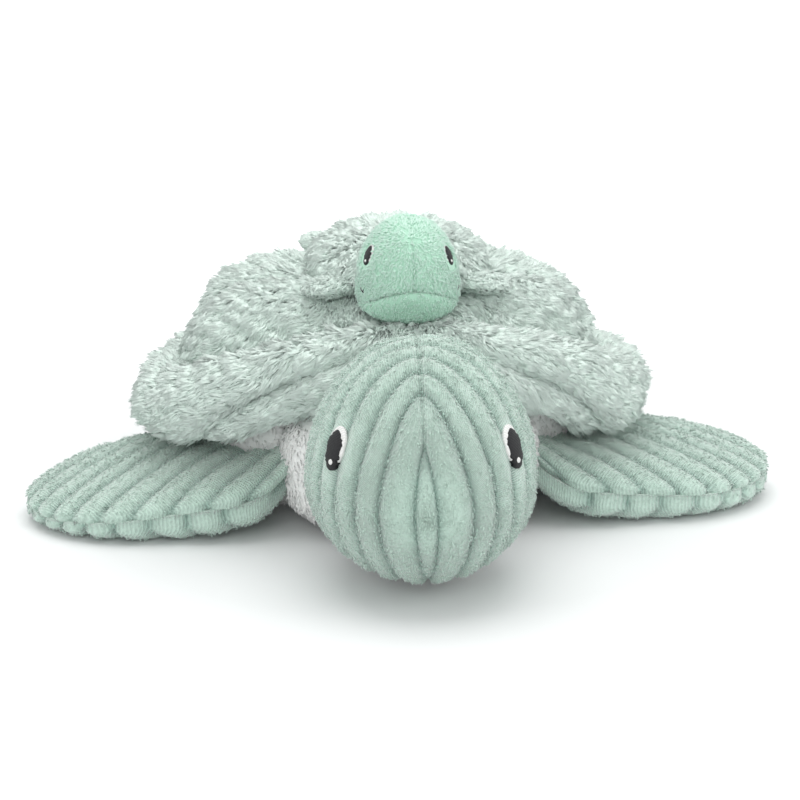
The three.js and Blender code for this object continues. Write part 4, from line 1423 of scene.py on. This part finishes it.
@dataclass
class Head:
    """The mother's head: ribbed panels over a white chin, turned a little to her right."""

    egg: Egg = field(default_factory=lambda: Egg((0, -105, 47), (50, 58, 62), 44))
    eye: EyeSpot = field(default_factory=lambda: EyeSpot((0.756, -0.545, 0.363), 5.2, 8.8))
    pivot: tuple[float, float, float] = (0.0, -68.0, 40.0)
    turn: float = -5.0
    groove: float = 3.0
    slant: float = 0.04
    jaw: tuple[float, float, float] = (-3.0, -150.0, 0.35)
    nose_ribs: float = 13.0
    seam_width: float = 1.3
    seam_depth: float = 1.3
    middle: tuple[float, float, float] = (0.0, -105.0, 55.0)
    eye_margin: float = 3.0
    back_slope: float = 67.0
    nap_strands: int = 11000
    white_strands: int = 4000

    def place(self, points: np.ndarray) -> np.ndarray:
        """Turns the head about its neck."""
        return turned(points, self.pivot[:2], self.turn)

    def ring(self, rib: np.ndarray, turn: np.ndarray) -> np.ndarray:
        """How far from the nose a furrow runs.

        Args:
            rib: Which furrow, counted from the nose.
            turn: Round the nose.

        Returns:
            Degrees from the nose.
        """
        side = 5.6 + 19.0 * np.minimum(rib, 1) + 13 * np.maximum(rib - 1, 0)
        over = 28 + 25 * np.minimum(rib, 1) + 10.5 * np.maximum(rib - 1, 0)
        under = 58 + 43 * np.minimum(rib, 1) + 30 * np.maximum(rib - 1, 0)
        far = np.where(np.sin(turn) > 0, over, under)
        power = 1.5 + 0.5 * np.clip((rib - 1) / 2.5, 0, 1)
        ratio = (np.abs(np.cos(turn)) / side) ** power + (np.abs(np.sin(turn)) / far) ** power
        return ratio ** (-1 / power)

    def rib_at(self, way: np.ndarray) -> np.ndarray:
        """Which rib a direction falls on.

        Args:
            way: Unit directions from the head's middle.

        Returns:
            The rib, below 0 inside the first furrow.
        """
        x = way[:, 0] + self.slant * way[:, 2]
        lean = np.degrees(np.arctan2(np.hypot(x, way[:, 2]), -way[:, 1]))
        turn = np.arctan2(way[:, 2], x)
        low, high = np.zeros(len(way)), np.full(len(way), self.nose_ribs)
        for _ in range(18):
            middle = (low + high) / 2
            inside = self.ring(middle, turn) < lean
            low = np.where(inside, middle, low)
            high = np.where(inside, high, middle)
        first = self.ring(np.zeros(len(way)), turn)
        return np.where(lean < first, lean / first - 1, low)

    def crest(self, rib: np.ndarray) -> np.ndarray:
        """The rounded section of the ribs: 1 on a crest and 0 in a furrow."""
        return rounded(np.where(rib < 0, 0.5 + 0.5 * (rib + 1), rib % 1))

    def eye_nearness(self, places: np.ndarray) -> np.ndarray:
        """How near places are to an eye, where the stitches flatten the ribs.

        Args:
            places: Places on the head before its turn.

        Returns:
            1 on an eye and 0 away from both.
        """
        nearest = np.full(len(places), 1e3)
        for side in Side:
            foot, across, up = self.egg.spot(self.eye, side)
            away = places - foot
            wide = away @ across / (self.eye.half_width + self.eye_margin)
            tall = away @ up / (self.eye.half_height + self.eye_margin)
            nearest = np.minimum(nearest, np.hypot(wide, tall))
        return np.clip(1.35 - nearest, 0, 1)

    def behind(self, points: np.ndarray) -> np.ndarray:
        """Draws the back of the head in to the neck, with a rounded edge.

        Args:
            points: Places before the turn.

        Returns:
            The places, none of them behind the edge.
        """
        away = np.hypot(points[:, 0], points[:, 2] - self.pivot[2])
        limit = self.pivot[1] + 1 - away / math.tan(math.radians(self.back_slope))
        over = points[:, 1] - limit
        out = points.copy()
        out[:, 1] = points[:, 1] - np.log1p(np.exp(np.clip(over / 3, -30, 30))) * 3
        return out

    def level(self, points: np.ndarray) -> np.ndarray:
        """The height of the jaw seam over each place."""
        return self.jaw[0] + (points[:, 1] - self.jaw[1]) * self.jaw[2]

    def cover(self, points: np.ndarray) -> tuple[np.ndarray, dict[str, np.ndarray]]:
        """The ribbed cover, closed under the jaw seam.

        Args:
            points: Unit directions.

        Returns:
            Places before the turn, and the values for the cord finish.
        """
        rib = self.rib_at(points)
        crest = self.crest(rib)
        smooth = self.egg.at(points)
        flat = self.eye_nearness(smooth)
        seam = bell(smooth[:, 0] + 50 * self.slant * points[:, 2], self.seam_width) * (rib > 0)
        low = np.clip(1 - (smooth[:, 2] - self.level(smooth)) / 14, 0, 1)
        depth = self.groove * (1 + 0.6 * low) * (1 - crest) * (1 - flat) + self.seam_depth * seam + flat
        grain = np.random.default_rng(5).normal(0, LOOSE_GRAIN, len(points)) * (1 - flat)
        out = self.egg.at(points, grain - depth + 0.5 * lumps(smooth, 34, 8))
        over = out[:, 2] - self.level(out) + 4.0 * crest - 1.5
        out = drawn_in(out, over, self.middle, 42.0)
        tuck = np.clip(1 - over / 5, 0, 1) ** 2
        out -= (out - np.array(self.middle)) * (0.04 * tuck)[:, None]
        near_nose = np.hypot(points[:, 0], points[:, 2])
        # The rib value is lowered along the middle seam, which paints furrow shade into the seam.
        values = {"rib": crest * (1 - 0.3 * seam), "looped": np.clip(near_nose * 4 - 1, 0, 1),
                  "thread": 52 * np.arctan2(points[:, 2], np.abs(points[:, 0]) + 1e-6)}
        return self.behind(out), values

    def chin(self, points: np.ndarray) -> np.ndarray:
        """The white chin, closed over the jaw seam."""
        out = self.egg.at(points, -2.4)
        under = self.level(out) - out[:, 2]
        return self.behind(drawn_in(out, under, (0.0, -95.0, 7.0), 9.2))

    def neck(self, points: np.ndarray) -> np.ndarray:
        """The round neck that the head turns on."""
        return pillow(self.pivot, (34.5, 34.5, 25.5), 2.3)(points)

    def build(self, finishes: Finishes) -> None:
        """Builds the panels, the chin, the eyes and the neck.

        Args:
            finishes: The materials.
        """
        for side in Side:
            panel = finished(ball(250, 220, "Y"), f"head_{side.word}", lambda points: points / MM)
            places, values = self.cover(places_of(panel.data) * MM)
            move_to(panel.data, places)
            keep_values(panel, values)
            cut_half(panel, Vector((0, 0, 0)), Vector((side.value, 0, 0)))
            self.settle(panel)
            filling = ("head_stuffing",) if side is Side.LEFT else ()
            dress(panel, finishes.cord, "head", (f"head_{side.word}_panel",) + filling)
            self.grow_nap(side, panel, finishes)
            sewn = Embroidery(self.egg, self.eye, 1.6, self.place)
            sewn.build(f"eye_{side.word}", side, "head", finishes)
        chin = finished(ball(90, 64, "Y"), "chin", lambda points: self.place(self.chin(points)))
        dress(chin, finishes.white_ground, "head", ("chin_panel",))
        neck = finished(ball(80, 56), "neck_cover", self.neck)
        dress(neck, finishes.white_ground, "neck", ("neck",))
        self.grow(finishes, chin, neck)

    def grow_nap(self, side: Side, panel: bpy.types.Object, finishes: Finishes) -> None:
        """Grows the loose ends of the chenille, clear of the eyes.

        Args:
            side: Which panel.
            panel: Its cloth.
            finishes: The materials.
        """
        def clear(places: np.ndarray, ways: np.ndarray) -> np.ndarray:
            """Only on the outside, and none on the stitches.

            Args:
                places: Where loose ends could stand.
                ways: The outward directions there.

            Returns:
                How thickly they grow.
            """
            still = turned(places, self.pivot[:2], -self.turn)
            facing = np.sum(unit(still - np.array(self.egg.centre)) * ways, axis=1) > 0.35
            return facing * (still[:, 1] < -72) * (self.eye_nearness(still) < 0.05)

        pile = replace(CORD_NAP, seed=44)
        fur = pile.grow(f"head_{side.word}_nap", panel, self.nap_strands,
                        lambda points: points * 0 - [0, 0, 1.0], clear)
        dress(fur, finishes.cord_nap, "head")

    def settle(self, panel: bpy.types.Object) -> None:
        """Turns a finished panel with the head."""
        move_to(panel.data, self.place(places_of(panel.data)))

    def grow(self, finishes: Finishes, chin: bpy.types.Object, neck: bpy.types.Object) -> None:
        """Grows the short white pile of the chin and the neck.

        Args:
            finishes: The materials.
            chin: The chin's cloth.
            neck: The neck's cloth.
        """
        def back(points: np.ndarray) -> np.ndarray:
            """Brushed back and down."""
            return np.tile([0.0, 1.0, -0.4], (len(points), 1))

        for name, ground, body in (("chin_pile", chin, "head"), ("neck_pile", neck, "neck")):
            fur = CHIN_FUR.grow(name, ground, self.white_strands, back,
                                lambda places, ways: places[:, 2] > 1.5)
            dress(fur, finishes.white_pile, body)


# Flippers and tail


@dataclass
class Flipper:
    """A ribbed paddle: a domed top panel sewn to a flatter one below."""

    prefix: str
    centre: tuple[float, float]
    radii: tuple[float, float]
    turn: float
    pivot: tuple[float, float]
    reach: float
    level: tuple[float, float]
    half_height: tuple[float, float]
    rib_way: float
    rib_from: float
    pitch: tuple[float, float]
    groove: float
    below: float
    tilt: float = 0.0
    corner: float = 0.0
    raised: float = 0.0
    root_rise: float = 0.0
    left_shift: float = 0.3
    bottom_shift: float = 0.45

    def plan(self, disc: np.ndarray) -> np.ndarray:
        """The outline from above: an ellipse whose inner front corner is fuller.

        Args:
            disc: Points of a unit disc.

        Returns:
            Their x and y before the turn.
        """
        inner = np.minimum(disc[:, 0], 0) * np.minimum(disc[:, 1], 0)
        fuller = 1 + self.corner * (2 * inner / (np.sum(disc ** 2, axis=1) + 1e-9)) ** 2
        return disc * np.array(self.radii) * fuller[:, None]

    def spread(self, points: np.ndarray) -> tuple[np.ndarray, np.ndarray, np.ndarray]:
        """Where unit points lie from above.

        Args:
            points: Unit points.

        Returns:
            X, y and the share of the way from the pivot to the tip.
        """
        turn = math.radians(self.turn)
        near = np.abs(points[:, 2])
        flat = self.plan(points[:, :2] * (1 - 0.02 * bell(near, 0.1))[:, None])
        x = self.centre[0] + flat[:, 0] * math.cos(turn) - flat[:, 1] * math.sin(turn)
        y = self.centre[1] + flat[:, 0] * math.sin(turn) + flat[:, 1] * math.cos(turn)
        out_x = (x - self.pivot[0]) * math.cos(turn) + (y - self.pivot[1]) * math.sin(turn)
        return x, y, out_x / self.reach

    def lie(self, points: np.ndarray, reach: np.ndarray, side: Side) -> np.ndarray:
        """How high the seam between the panels lies.

        Args:
            points: Unit points.
            reach: The share of the way from the pivot to the tip.
            side: Which side of the turtle.

        Returns:
            The heights.
        """
        level = self.level[0] + (self.level[1] - self.level[0]) * reach
        level = level + self.tilt * points[:, 1]
        level = level + self.root_rise * np.clip(-reach / 0.25, 0, 1) ** 2
        if side is Side.LEFT:
            level = level + self.raised * np.clip(reach, 0, 1) ** 2
        return level

    def crest(self, x: np.ndarray, y: np.ndarray, side: Side, top: bool) -> np.ndarray:
        """The section of the ribs at each place.

        Args:
            x: Places across.
            y: Places along.
            side: Which side of the turtle.
            top: Whether it is the top panel.

        Returns:
            1 on a crest and 0 in a furrow.
        """
        way = math.radians(self.rib_way)
        across = -x * math.sin(way) + y * math.cos(way)
        gap = (across - self.rib_from) / np.where(across > self.rib_from, self.pitch[1], self.pitch[0])
        gap = gap + (self.left_shift if side is Side.LEFT else 0.0) + (0.0 if top else self.bottom_shift)
        return rounded(gap % 1)

    def form(self, points: np.ndarray, side: Side, top: bool) -> tuple[np.ndarray, dict]:
        """The form of one panel.

        Args:
            points: Unit points.
            side: Which side of the turtle.
            top: Whether it is the top panel.

        Returns:
            The places, and the values for the cord finish.
        """
        x, y, reach = self.spread(points)
        level = self.lie(points, reach, side)
        near = np.abs(points[:, 2])
        most = self.half_height[0] + (self.half_height[1] - self.half_height[0]) * np.clip(reach, 0, 1)
        most = most if top else 1.3 * np.minimum(self.below, level - 0.7)
        way = math.radians(self.rib_way)
        along = x * math.cos(way) + y * math.sin(way)
        crest = self.crest(x, y, side, top)
        swell = near ** (0.72 if top else 0.5)
        fold = self.groove * (1 - crest) * np.clip(near * 6, 0.4, 1)
        grain = np.random.default_rng(6).normal(0, LOOSE_GRAIN, len(points)) * np.clip(near * 4, 0, 1)
        rise = np.maximum(most * swell - fold + grain, 0.02)
        shrink = 1 - 0.06 * (1 - crest) * bell(near, 0.4)
        x = self.centre[0] + (x - self.centre[0]) * shrink
        y = self.centre[1] + (y - self.centre[1]) * shrink
        kept = points[:, 2] > 0 if top else points[:, 2] < 0
        z = level + np.where(kept, rise * (1 if top else -1), 0.0)
        values = {"rib": crest, "looped": np.ones(len(points)), "thread": along}
        return np.column_stack([side.value * x, y, np.maximum(z, 0.5)]), values

    def build(self, side: Side, finishes: Finishes) -> None:
        """Builds the two panels of one flipper.

        Args:
            side: Which side of the turtle.
            finishes: The materials.
        """
        body = f"{self.prefix}_{side.word}"
        for part, top in (("top", True), ("bottom", False)):
            around = int(FACES_PER_MM * self.radii[0])
            panel = finished(ball(around, around // 2), f"{body}_{part}", lambda points: points / MM)
            places, values = self.form(places_of(panel.data) * MM, side, top)
            move_to(panel.data, places)
            keep_values(panel, values)
            outward(panel.data)
            panel.data.shade_smooth()
            nodes = (f"{body}_{part}_panel",) + ((f"{body}_stuffing",) if top else ())
            dress(panel, finishes.cord, body, nodes)
            self.grow_nap(panel, top, body, finishes)

    def grow_nap(self, panel: bpy.types.Object, top: bool, body: str, finishes: Finishes) -> None:
        """Grows the loose ends of the chenille on the outside of one panel.

        Args:
            panel: The panel's cloth.
            top: Whether it is the top panel.
            body: The body that it rides on.
            finishes: The materials.
        """
        def outside(places: np.ndarray, ways: np.ndarray) -> np.ndarray:
            """Off the inner face and the floor."""
            facing = ways[:, 2] > 0.05 if top else ways[:, 2] < -0.05
            return facing * (places[:, 2] > 1.6)

        pile = replace(CORD_NAP, seed=46)
        count = int((0.55 if top else 0.25) * math.pi * self.radii[0] * self.radii[1])
        fur = pile.grow(f"{panel.name}_nap", panel, count,
                        lambda points: points * 0 - [0, 0.3, 1.0], outside)
        dress(fur, finishes.cord_nap, body)


@dataclass
class Tail:
    """A small ribbed tail, flat and pointed."""

    start: tuple[float, float, float] = (0.0, 98.0, 18.0)
    end: tuple[float, float, float] = (0.0, 152.0, 10.0)
    half_width: float = 14.0
    half_height: float = 10.0
    pitch: float = 11.0

    def build(self, finishes: Finishes) -> None:
        """Builds the tail.

        Args:
            finishes: The materials.
        """
        start, end = np.array(self.start), np.array(self.end)

        def shape(points: np.ndarray) -> np.ndarray:
            """Gives unit points their places on the tail.

            Args:
                points: Unit points.

            Returns:
                The places in millimetres.
            """
            share = np.arccos(np.clip(-points[:, 1], -1, 1)) / math.pi
            swell = 1.55 * np.sqrt(share) * (1 - share) ** 0.8
            turn = np.arctan2(points[:, 2], points[:, 0])
            across = self.half_width * swell * np.cos(turn)
            ridge = 1 - 0.1 * np.abs(np.sin(across / self.pitch * math.pi))
            spot = start + (end - start) * share[:, None]
            return spot + np.column_stack([across, np.zeros(len(points)),
                                           self.half_height * swell * np.sin(turn) * ridge])

        tail = finished(ball(60, 60, "Y"), "tail_cover", shape)
        marks = places_of(tail.data)
        crest = 1 - np.abs(np.sin(marks[:, 0] / self.pitch * math.pi)) ** 6
        keep_values(tail, {"rib": crest, "looped": np.ones(len(marks)), "thread": marks[:, 1]})
        dress(tail, finishes.cord, "tail", ("tail",))


# Baby turtle


@dataclass
class Baby:
    """The small turtle: a furry back, a white belly, a velour head and four fur flippers."""

    egg: Egg = field(default_factory=lambda: Egg((-2, -46, 119), (22.5, 26, 29), 19, 0.18))
    eye: EyeSpot = field(default_factory=lambda: EyeSpot((0.8, -0.38, 0.475), 3.0, 4.6, yaw=-6.0))
    neck: tuple[float, float, float] = (-2.0, -24.0, 122.0)
    centre: tuple[float, float] = (0.0, 12.0)
    half_width: float = 42.0
    half_length: float = 50.0
    edge: float = 118.0
    rise: float = 12.0
    skirt: float = 5.0
    belly: float = 7.0
    mouth: float = 119.5
    back_strands: int = 22000
    head_strands: int = 13000
    chin_strands: int = 5000
    flipper_strands: int = 2500

    def body_shape(self, grow: float, top: bool) -> Shape:
        """The baby's back or belly.

        Args:
            grow: How far outside the bare form, in millimetres.
            top: Whether it is the back.

        Returns:
            A function from unit points to places on it.
        """
        def shape(points: np.ndarray) -> np.ndarray:
            """Gives unit points their places on the body.

            Args:
                points: Unit points.

            Returns:
                The places in millimetres.
            """
            turn = np.arctan2(points[:, 0], -points[:, 1])
            row = np.arccos(np.clip(points[:, 2], -1, 1)) / (math.pi / 2)
            spread = np.sin(math.pi / 2 * row) ** np.where(row < 1, 0.75, 1.0)
            rise = np.cos(math.pi / 2 * row)
            x = self.centre[0] + (self.half_width + grow) * spread * np.sin(turn)
            y = self.centre[1] - (self.half_length + grow) * spread * np.cos(turn)
            high = np.where(row < 1, self.rise + grow, self.belly + grow)
            level = high * np.sign(rise) * np.abs(rise) ** np.where(row < 1, 0.9, 0.7)
            kept = level > 0 if top else level < 0
            edge = self.edge - self.skirt * spread ** 6
            out = np.column_stack([x, y, edge + np.where(kept, level, level * 0.05)])
            out[:, 2] += (lumps(out, 24, 9) * 1.2 + tufts(out)) * (rise > 0) * top
            return out
        return shape

    def head_shape(self, top: bool) -> Shape:
        """The head above or below the mouth seam.

        Args:
            top: Whether it is the part above.

        Returns:
            A function from unit points to places on it.
        """
        def shape(points: np.ndarray) -> np.ndarray:
            """Gives unit points their places on the head.

            Args:
                points: Unit points.

            Returns:
                The places in millimetres.
            """
            out = self.egg.at(points)
            seam = bell(out[:, 0] - self.egg.centre[0], 0.9) * (out[:, 1] < -46) * top
            out = self.egg.at(points, -0.8 * seam + 0.25 * lumps(out, 9, 11))
            over = (out[:, 2] - self.mouth_level(out)) * (1 if top else -1)
            anchor = (-2.0, -46.0, 130.0 if top else 109.0)
            out = drawn_in(out, over, anchor, 10.5)
            tuck = np.clip(1 - over / 3, 0, 1) ** 2 * 0.035
            out -= (out - np.array(anchor)) * tuck[:, None]
            limit = self.neck[1] - 2
            behind = np.maximum(out[:, 1] - limit, 0)
            out[:, 1] -= behind * 0.9
            return out
        return shape

    def mouth_level(self, points: np.ndarray) -> np.ndarray:
        """The mouth seam: a shallow arch over the front."""
        return self.mouth + 0.6 - 0.019 * (points[:, 0] - self.egg.centre[0]) ** 2

    def build(self, finishes: Finishes) -> None:
        """Builds the baby's body, head and flippers.

        Args:
            finishes: The materials.
        """
        back = finished(ball(150, 100), "baby_back", self.body_shape(-1.5, True))
        dress(back, finishes.long_ground, "baby",
              ("baby_shell_cover", "baby_stuffing"))
        belly = finished(ball(90, 60), "baby_belly", self.body_shape(-1.6, False))
        dress(belly, finishes.white_ground, "baby", ("baby_belly_panel",))
        self.grow_back(finishes, back)
        self.build_head(finishes)
        for side in Side:
            self.build_flipper(side, "front", (34, -23, 111.0), (14, 9.5, 3.6), -35, finishes)
            self.build_flipper(side, "rear", (31, 54, 112.5), (13, 8.5, 4.0), 50, finishes)
        self.build_pads(finishes)

    def grow_back(self, finishes: Finishes, back: bpy.types.Object) -> None:
        """Grows the curlier pile of the baby's back.

        Args:
            finishes: The materials.
            back: The back's cloth.
        """
        def outward_nap(points: np.ndarray) -> np.ndarray:
            """Brushed from the middle to the edge."""
            return unit((points - [self.centre[0], self.centre[1], 128]) * [1, 1, 1.4])

        fur = BABY_FUR.grow("baby_back_pile", back, self.back_strands, outward_nap,
                            lambda places, ways: ways[:, 2] > -0.3)
        dress(fur, finishes.long_pile, "baby")

    def build_head(self, finishes: Finishes) -> None:
        """Builds the velour head, its eyes and its mouth stitches.

        Args:
            finishes: The materials.
        """
        head = finished(ball(150, 120, "Y"), "baby_head", self.head_shape(True))
        dress(head, finishes.mint_ground, "baby_head",
              ("baby_head_left_panel", "baby_head_right_panel", "baby_head_stuffing"))
        chin = finished(ball(100, 72, "Y"), "baby_chin", self.head_shape(False))
        dress(chin, finishes.mint_ground, "baby_head", ("baby_chin_panel",))
        sewn = Embroidery(self.egg, self.eye, 0.9, lambda points: points)
        for side in Side:
            sewn.build(f"baby_eye_{side.word}", side, "baby_head", finishes)
            self.build_stitch(side, finishes)
        self.grow_head(finishes, head, chin)

    def build_stitch(self, side: Side, finishes: Finishes) -> None:
        """Builds the tick at a corner of the mouth.

        Args:
            side: Which corner.
            finishes: The materials.
        """
        corner = EyeSpot((0.93, -0.34, -0.15), 2.4, 0.6, -25)
        sewn = Embroidery(self.egg, corner, 0.9, lambda points: points)
        tick = sewn.patch(f"baby_mouth_tick_{side.word}", side, (2.2, 0.55), (0, 1.2), 0.9, 0.1)
        dress(tick, finishes.black_thread, "baby_head",
              (f"baby_mouth_stitch_{side.word}",))

    def grow_head(self, finishes: Finishes, head: bpy.types.Object, chin: bpy.types.Object) -> None:
        """Grows the short velour nap, clear of the eyes.

        Args:
            finishes: The materials.
            head: The cloth above the mouth seam.
            chin: The cloth below it.
        """
        def down(points: np.ndarray) -> np.ndarray:
            """Brushed down and back from the crown."""
            return unit(points - np.array(self.egg.centre) - [0, -20, 26])

        def clear(places: np.ndarray, ways: np.ndarray) -> np.ndarray:
            """No nap on the stitches or inside the neck.

            Args:
                places: Where strands could stand.
                ways: The outward directions there.

            Returns:
                1 where they grow and 0 elsewhere.
            """
            free = places[:, 1] < self.neck[1] - 3
            for side in Side:
                foot, across, up = self.egg.spot(self.eye, side)
                away = places - foot
                wide = away @ across / (self.eye.half_width + 1.2)
                tall = away @ up / (self.eye.half_height + 1.4)
                free = free & (np.hypot(wide, tall) > 1)
            return free * 1.0

        for name, ground, count in (("baby_head_nap", head, self.head_strands),
                                    ("baby_chin_nap", chin, self.chin_strands)):
            nap = VELOUR_NAP.grow(name, ground, count, down, clear)
            dress(nap, finishes.mint_pile, "baby_head")

    def build_flipper(self, side: Side, end: str, centre: tuple[float, float, float],
                      radii: tuple[float, float, float], turn: float, finishes: Finishes) -> None:
        """Builds one fur flipper and its pile.

        Args:
            side: Which side.
            end: Front or rear.
            centre: Its middle.
            radii: Half its sizes.
            turn: How far it points back, in degrees.
            finishes: The materials.
        """
        body = f"baby_{end}_flipper_{side.word}"

        def shape(points: np.ndarray) -> np.ndarray:
            """Gives unit points their places on the flipper."""
            out = turned(points * np.array(radii), (0, 0), turn) + np.array(centre)
            return out * [side.value, 1, 1]

        cover = finished(ball(48, 36, "X"), f"{body}_cover", shape)
        dress(cover, finishes.long_ground, body, (body,))

        def out_nap(points: np.ndarray) -> np.ndarray:
            """Brushed out along the flipper."""
            return unit(points - [0, 12, 118])

        fur = BABY_FLIPPER_FUR.grow(f"{body}_pile", cover, self.flipper_strands, out_nap,
                                    lambda places, ways: np.ones(len(places)))
        dress(fur, finishes.long_pile, body)

    def build_pads(self, finishes: Finishes) -> None:
        """Gives the hook and loop pads their cloth.

        Args:
            finishes: The materials.
        """
        for name in ("shell_loop_pad", "baby_hook_pad"):
            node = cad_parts[name]
            node.data.materials.clear()
            node.data.materials.append(finishes.pad)


# Studio


@dataclass(frozen=True)
class Softbox:
    """A soft lamp, in metres and watts."""

    name: str
    place: tuple[float, float, float]
    size: tuple[float, float]
    watts: float


SOFTBOXES = (Softbox("top_softbox", (0.0, 0.15, 1.5), (1.5, 1.3), 13.5),
             Softbox("front_softbox", (-0.5, -1.7, 0.9), (1.2, 0.9), 8.5),
             Softbox("side_softbox", (1.4, -0.7, 0.8), (1.0, 0.9), 4.0))


@dataclass
class Studio:
    """A pale floor, soft lamps and the camera."""

    azimuth: float = -6.8
    elevation: float = 17.5
    distance: float = 1.1
    lens: float = 103.95
    target: tuple[float, float, float] = (0.0, 0.0, 0.048)
    lit_point: tuple[float, float, float] = (0.0, 0.0, 0.05)
    ambient: float = 0.77
    backdrop: float = 0.25
    floor_half: float = 6.0
    floor_glow: tuple[float, float] = (0.15, 0.75)
    floor_most: float = 1.1

    def build(self) -> None:
        """Builds the studio."""
        self.build_floor()
        self.build_world()
        for softbox in SOFTBOXES:
            self.add_lamp(softbox)
        self.build_camera()
        bpy.context.scene.view_settings.view_transform = "Standard"

    def build_camera(self) -> None:
        """Places the camera where the photograph was taken from."""
        data = bpy.data.cameras.new("camera")
        data.lens = self.lens
        data.sensor_width = 36.0
        data.clip_end = 20
        camera = bpy.data.objects.new("camera", data)
        bpy.context.scene.collection.objects.link(camera)
        a, e = math.radians(self.azimuth), math.radians(self.elevation)
        back = Vector((math.sin(a) * math.cos(e), -math.cos(a) * math.cos(e), math.sin(e)))
        camera.location = Vector(self.target) + back * self.distance
        camera.rotation_euler = back.to_track_quat("Z", "Y").to_euler()
        bpy.context.scene.camera = camera

    def build_floor(self) -> None:
        """Lays a wide white floor that keeps the shadow and glows white further out."""
        bm = bmesh.new()
        bmesh.ops.create_grid(bm, x_segments=4, y_segments=4, size=self.floor_half)
        mesh = bpy.data.meshes.new("floor")
        bm.to_mesh(mesh)
        bm.free()
        floor = bpy.data.objects.new("floor", mesh)
        bpy.context.scene.collection.objects.link(floor)
        material, nodes, shader = new_material("white_floor")
        shader.inputs["Base Color"].default_value = colour("e4e6e6")
        shader.inputs["Roughness"].default_value = 0.9
        shader.inputs["Specular IOR Level"].default_value = 0.1
        shader.inputs["Emission Color"].default_value = (1, 1, 1, 1)
        seen = nodes.add("ShaderNodeLightPath").outputs["Is Camera Ray"]
        place = nodes.add("ShaderNodeTexCoord").outputs["Object"]
        away = nodes.add("ShaderNodeVectorMath", {"operation": "LENGTH"}, Vector=place).outputs["Value"]
        far = nodes.add("ShaderNodeMapRange", Value=away, From_Min=self.floor_glow[0],
                        From_Max=self.floor_glow[1], To_Min=0.0, To_Max=self.floor_most).outputs[0]
        nodes.put(shader.inputs["Emission Strength"], nodes.math("MULTIPLY", seen, far))
        mesh.materials.append(material)

    def build_world(self) -> None:
        """White to the camera, a soft even light to the object."""
        world = bpy.data.worlds.new("studio")
        bpy.context.scene.world = world
        world.use_nodes = True
        nodes = Nodes(world.node_tree)
        back = world.node_tree.nodes["Background"]
        back.inputs["Color"].default_value = (1, 1, 1, 1)
        path = nodes.add("ShaderNodeLightPath")
        seen = nodes.math("MAXIMUM", path.outputs["Is Camera Ray"], path.outputs["Is Glossy Ray"])
        seen = nodes.math("MAXIMUM", seen, path.outputs["Is Transmission Ray"])
        extra = nodes.math("MULTIPLY", seen, self.backdrop)
        nodes.put(back.inputs["Strength"], nodes.math("ADD", self.ambient, extra))

    def add_lamp(self, softbox: Softbox) -> None:
        """Adds a lamp that points at the turtle.

        Args:
            softbox: The lamp.
        """
        data = bpy.data.lights.new(softbox.name, "AREA")
        data.shape = "RECTANGLE"
        data.size, data.size_y = softbox.size
        data.energy = softbox.watts
        lamp = bpy.data.objects.new(softbox.name, data)
        lamp.location = softbox.place
        towards = Vector(softbox.place) - Vector(self.lit_point)
        lamp.rotation_euler = towards.to_track_quat("Z", "Y").to_euler()
        bpy.context.scene.collection.objects.link(lamp)


def front_flipper() -> Flipper:
    """The broad front pair."""
    return Flipper("front_flipper", centre=(117, -10), radii=(61, 46), turn=0, pivot=(80, -12),
                   reach=98, level=(22, 8.6), half_height=(13, 9.5), rib_way=-45, rib_from=80.0,
                   pitch=(13.6, 11.8), groove=3.0, below=14.7, tilt=3.4, corner=0.32, raised=6.0,
                   root_rise=9.0)


def rear_flipper() -> Flipper:
    """The small rear pair."""
    return Flipper("rear_flipper", centre=(70, 112), radii=(42, 25), turn=50, pivot=(52, 92),
                   reach=62, level=(16, 7.5), half_height=(9, 6), rib_way=20, rib_from=80.0,
                   pitch=(12.5, 12.5), groove=2.2, below=9.0)


def main() -> None:
    """Builds the turtle in its studio."""
    logging.basicConfig(level=logging.INFO, format="%(relativeCreated)d %(message)s")
    finishes = Finishes()
    Studio().build()
    Shell().build(finishes)
    Head().build(finishes)
    for side in Side:
        front_flipper().build(side, finishes)
        rear_flipper().build(side, finishes)
    Tail().build(finishes)
    Baby().build(finishes)


if __name__ == "__main__":
    main()
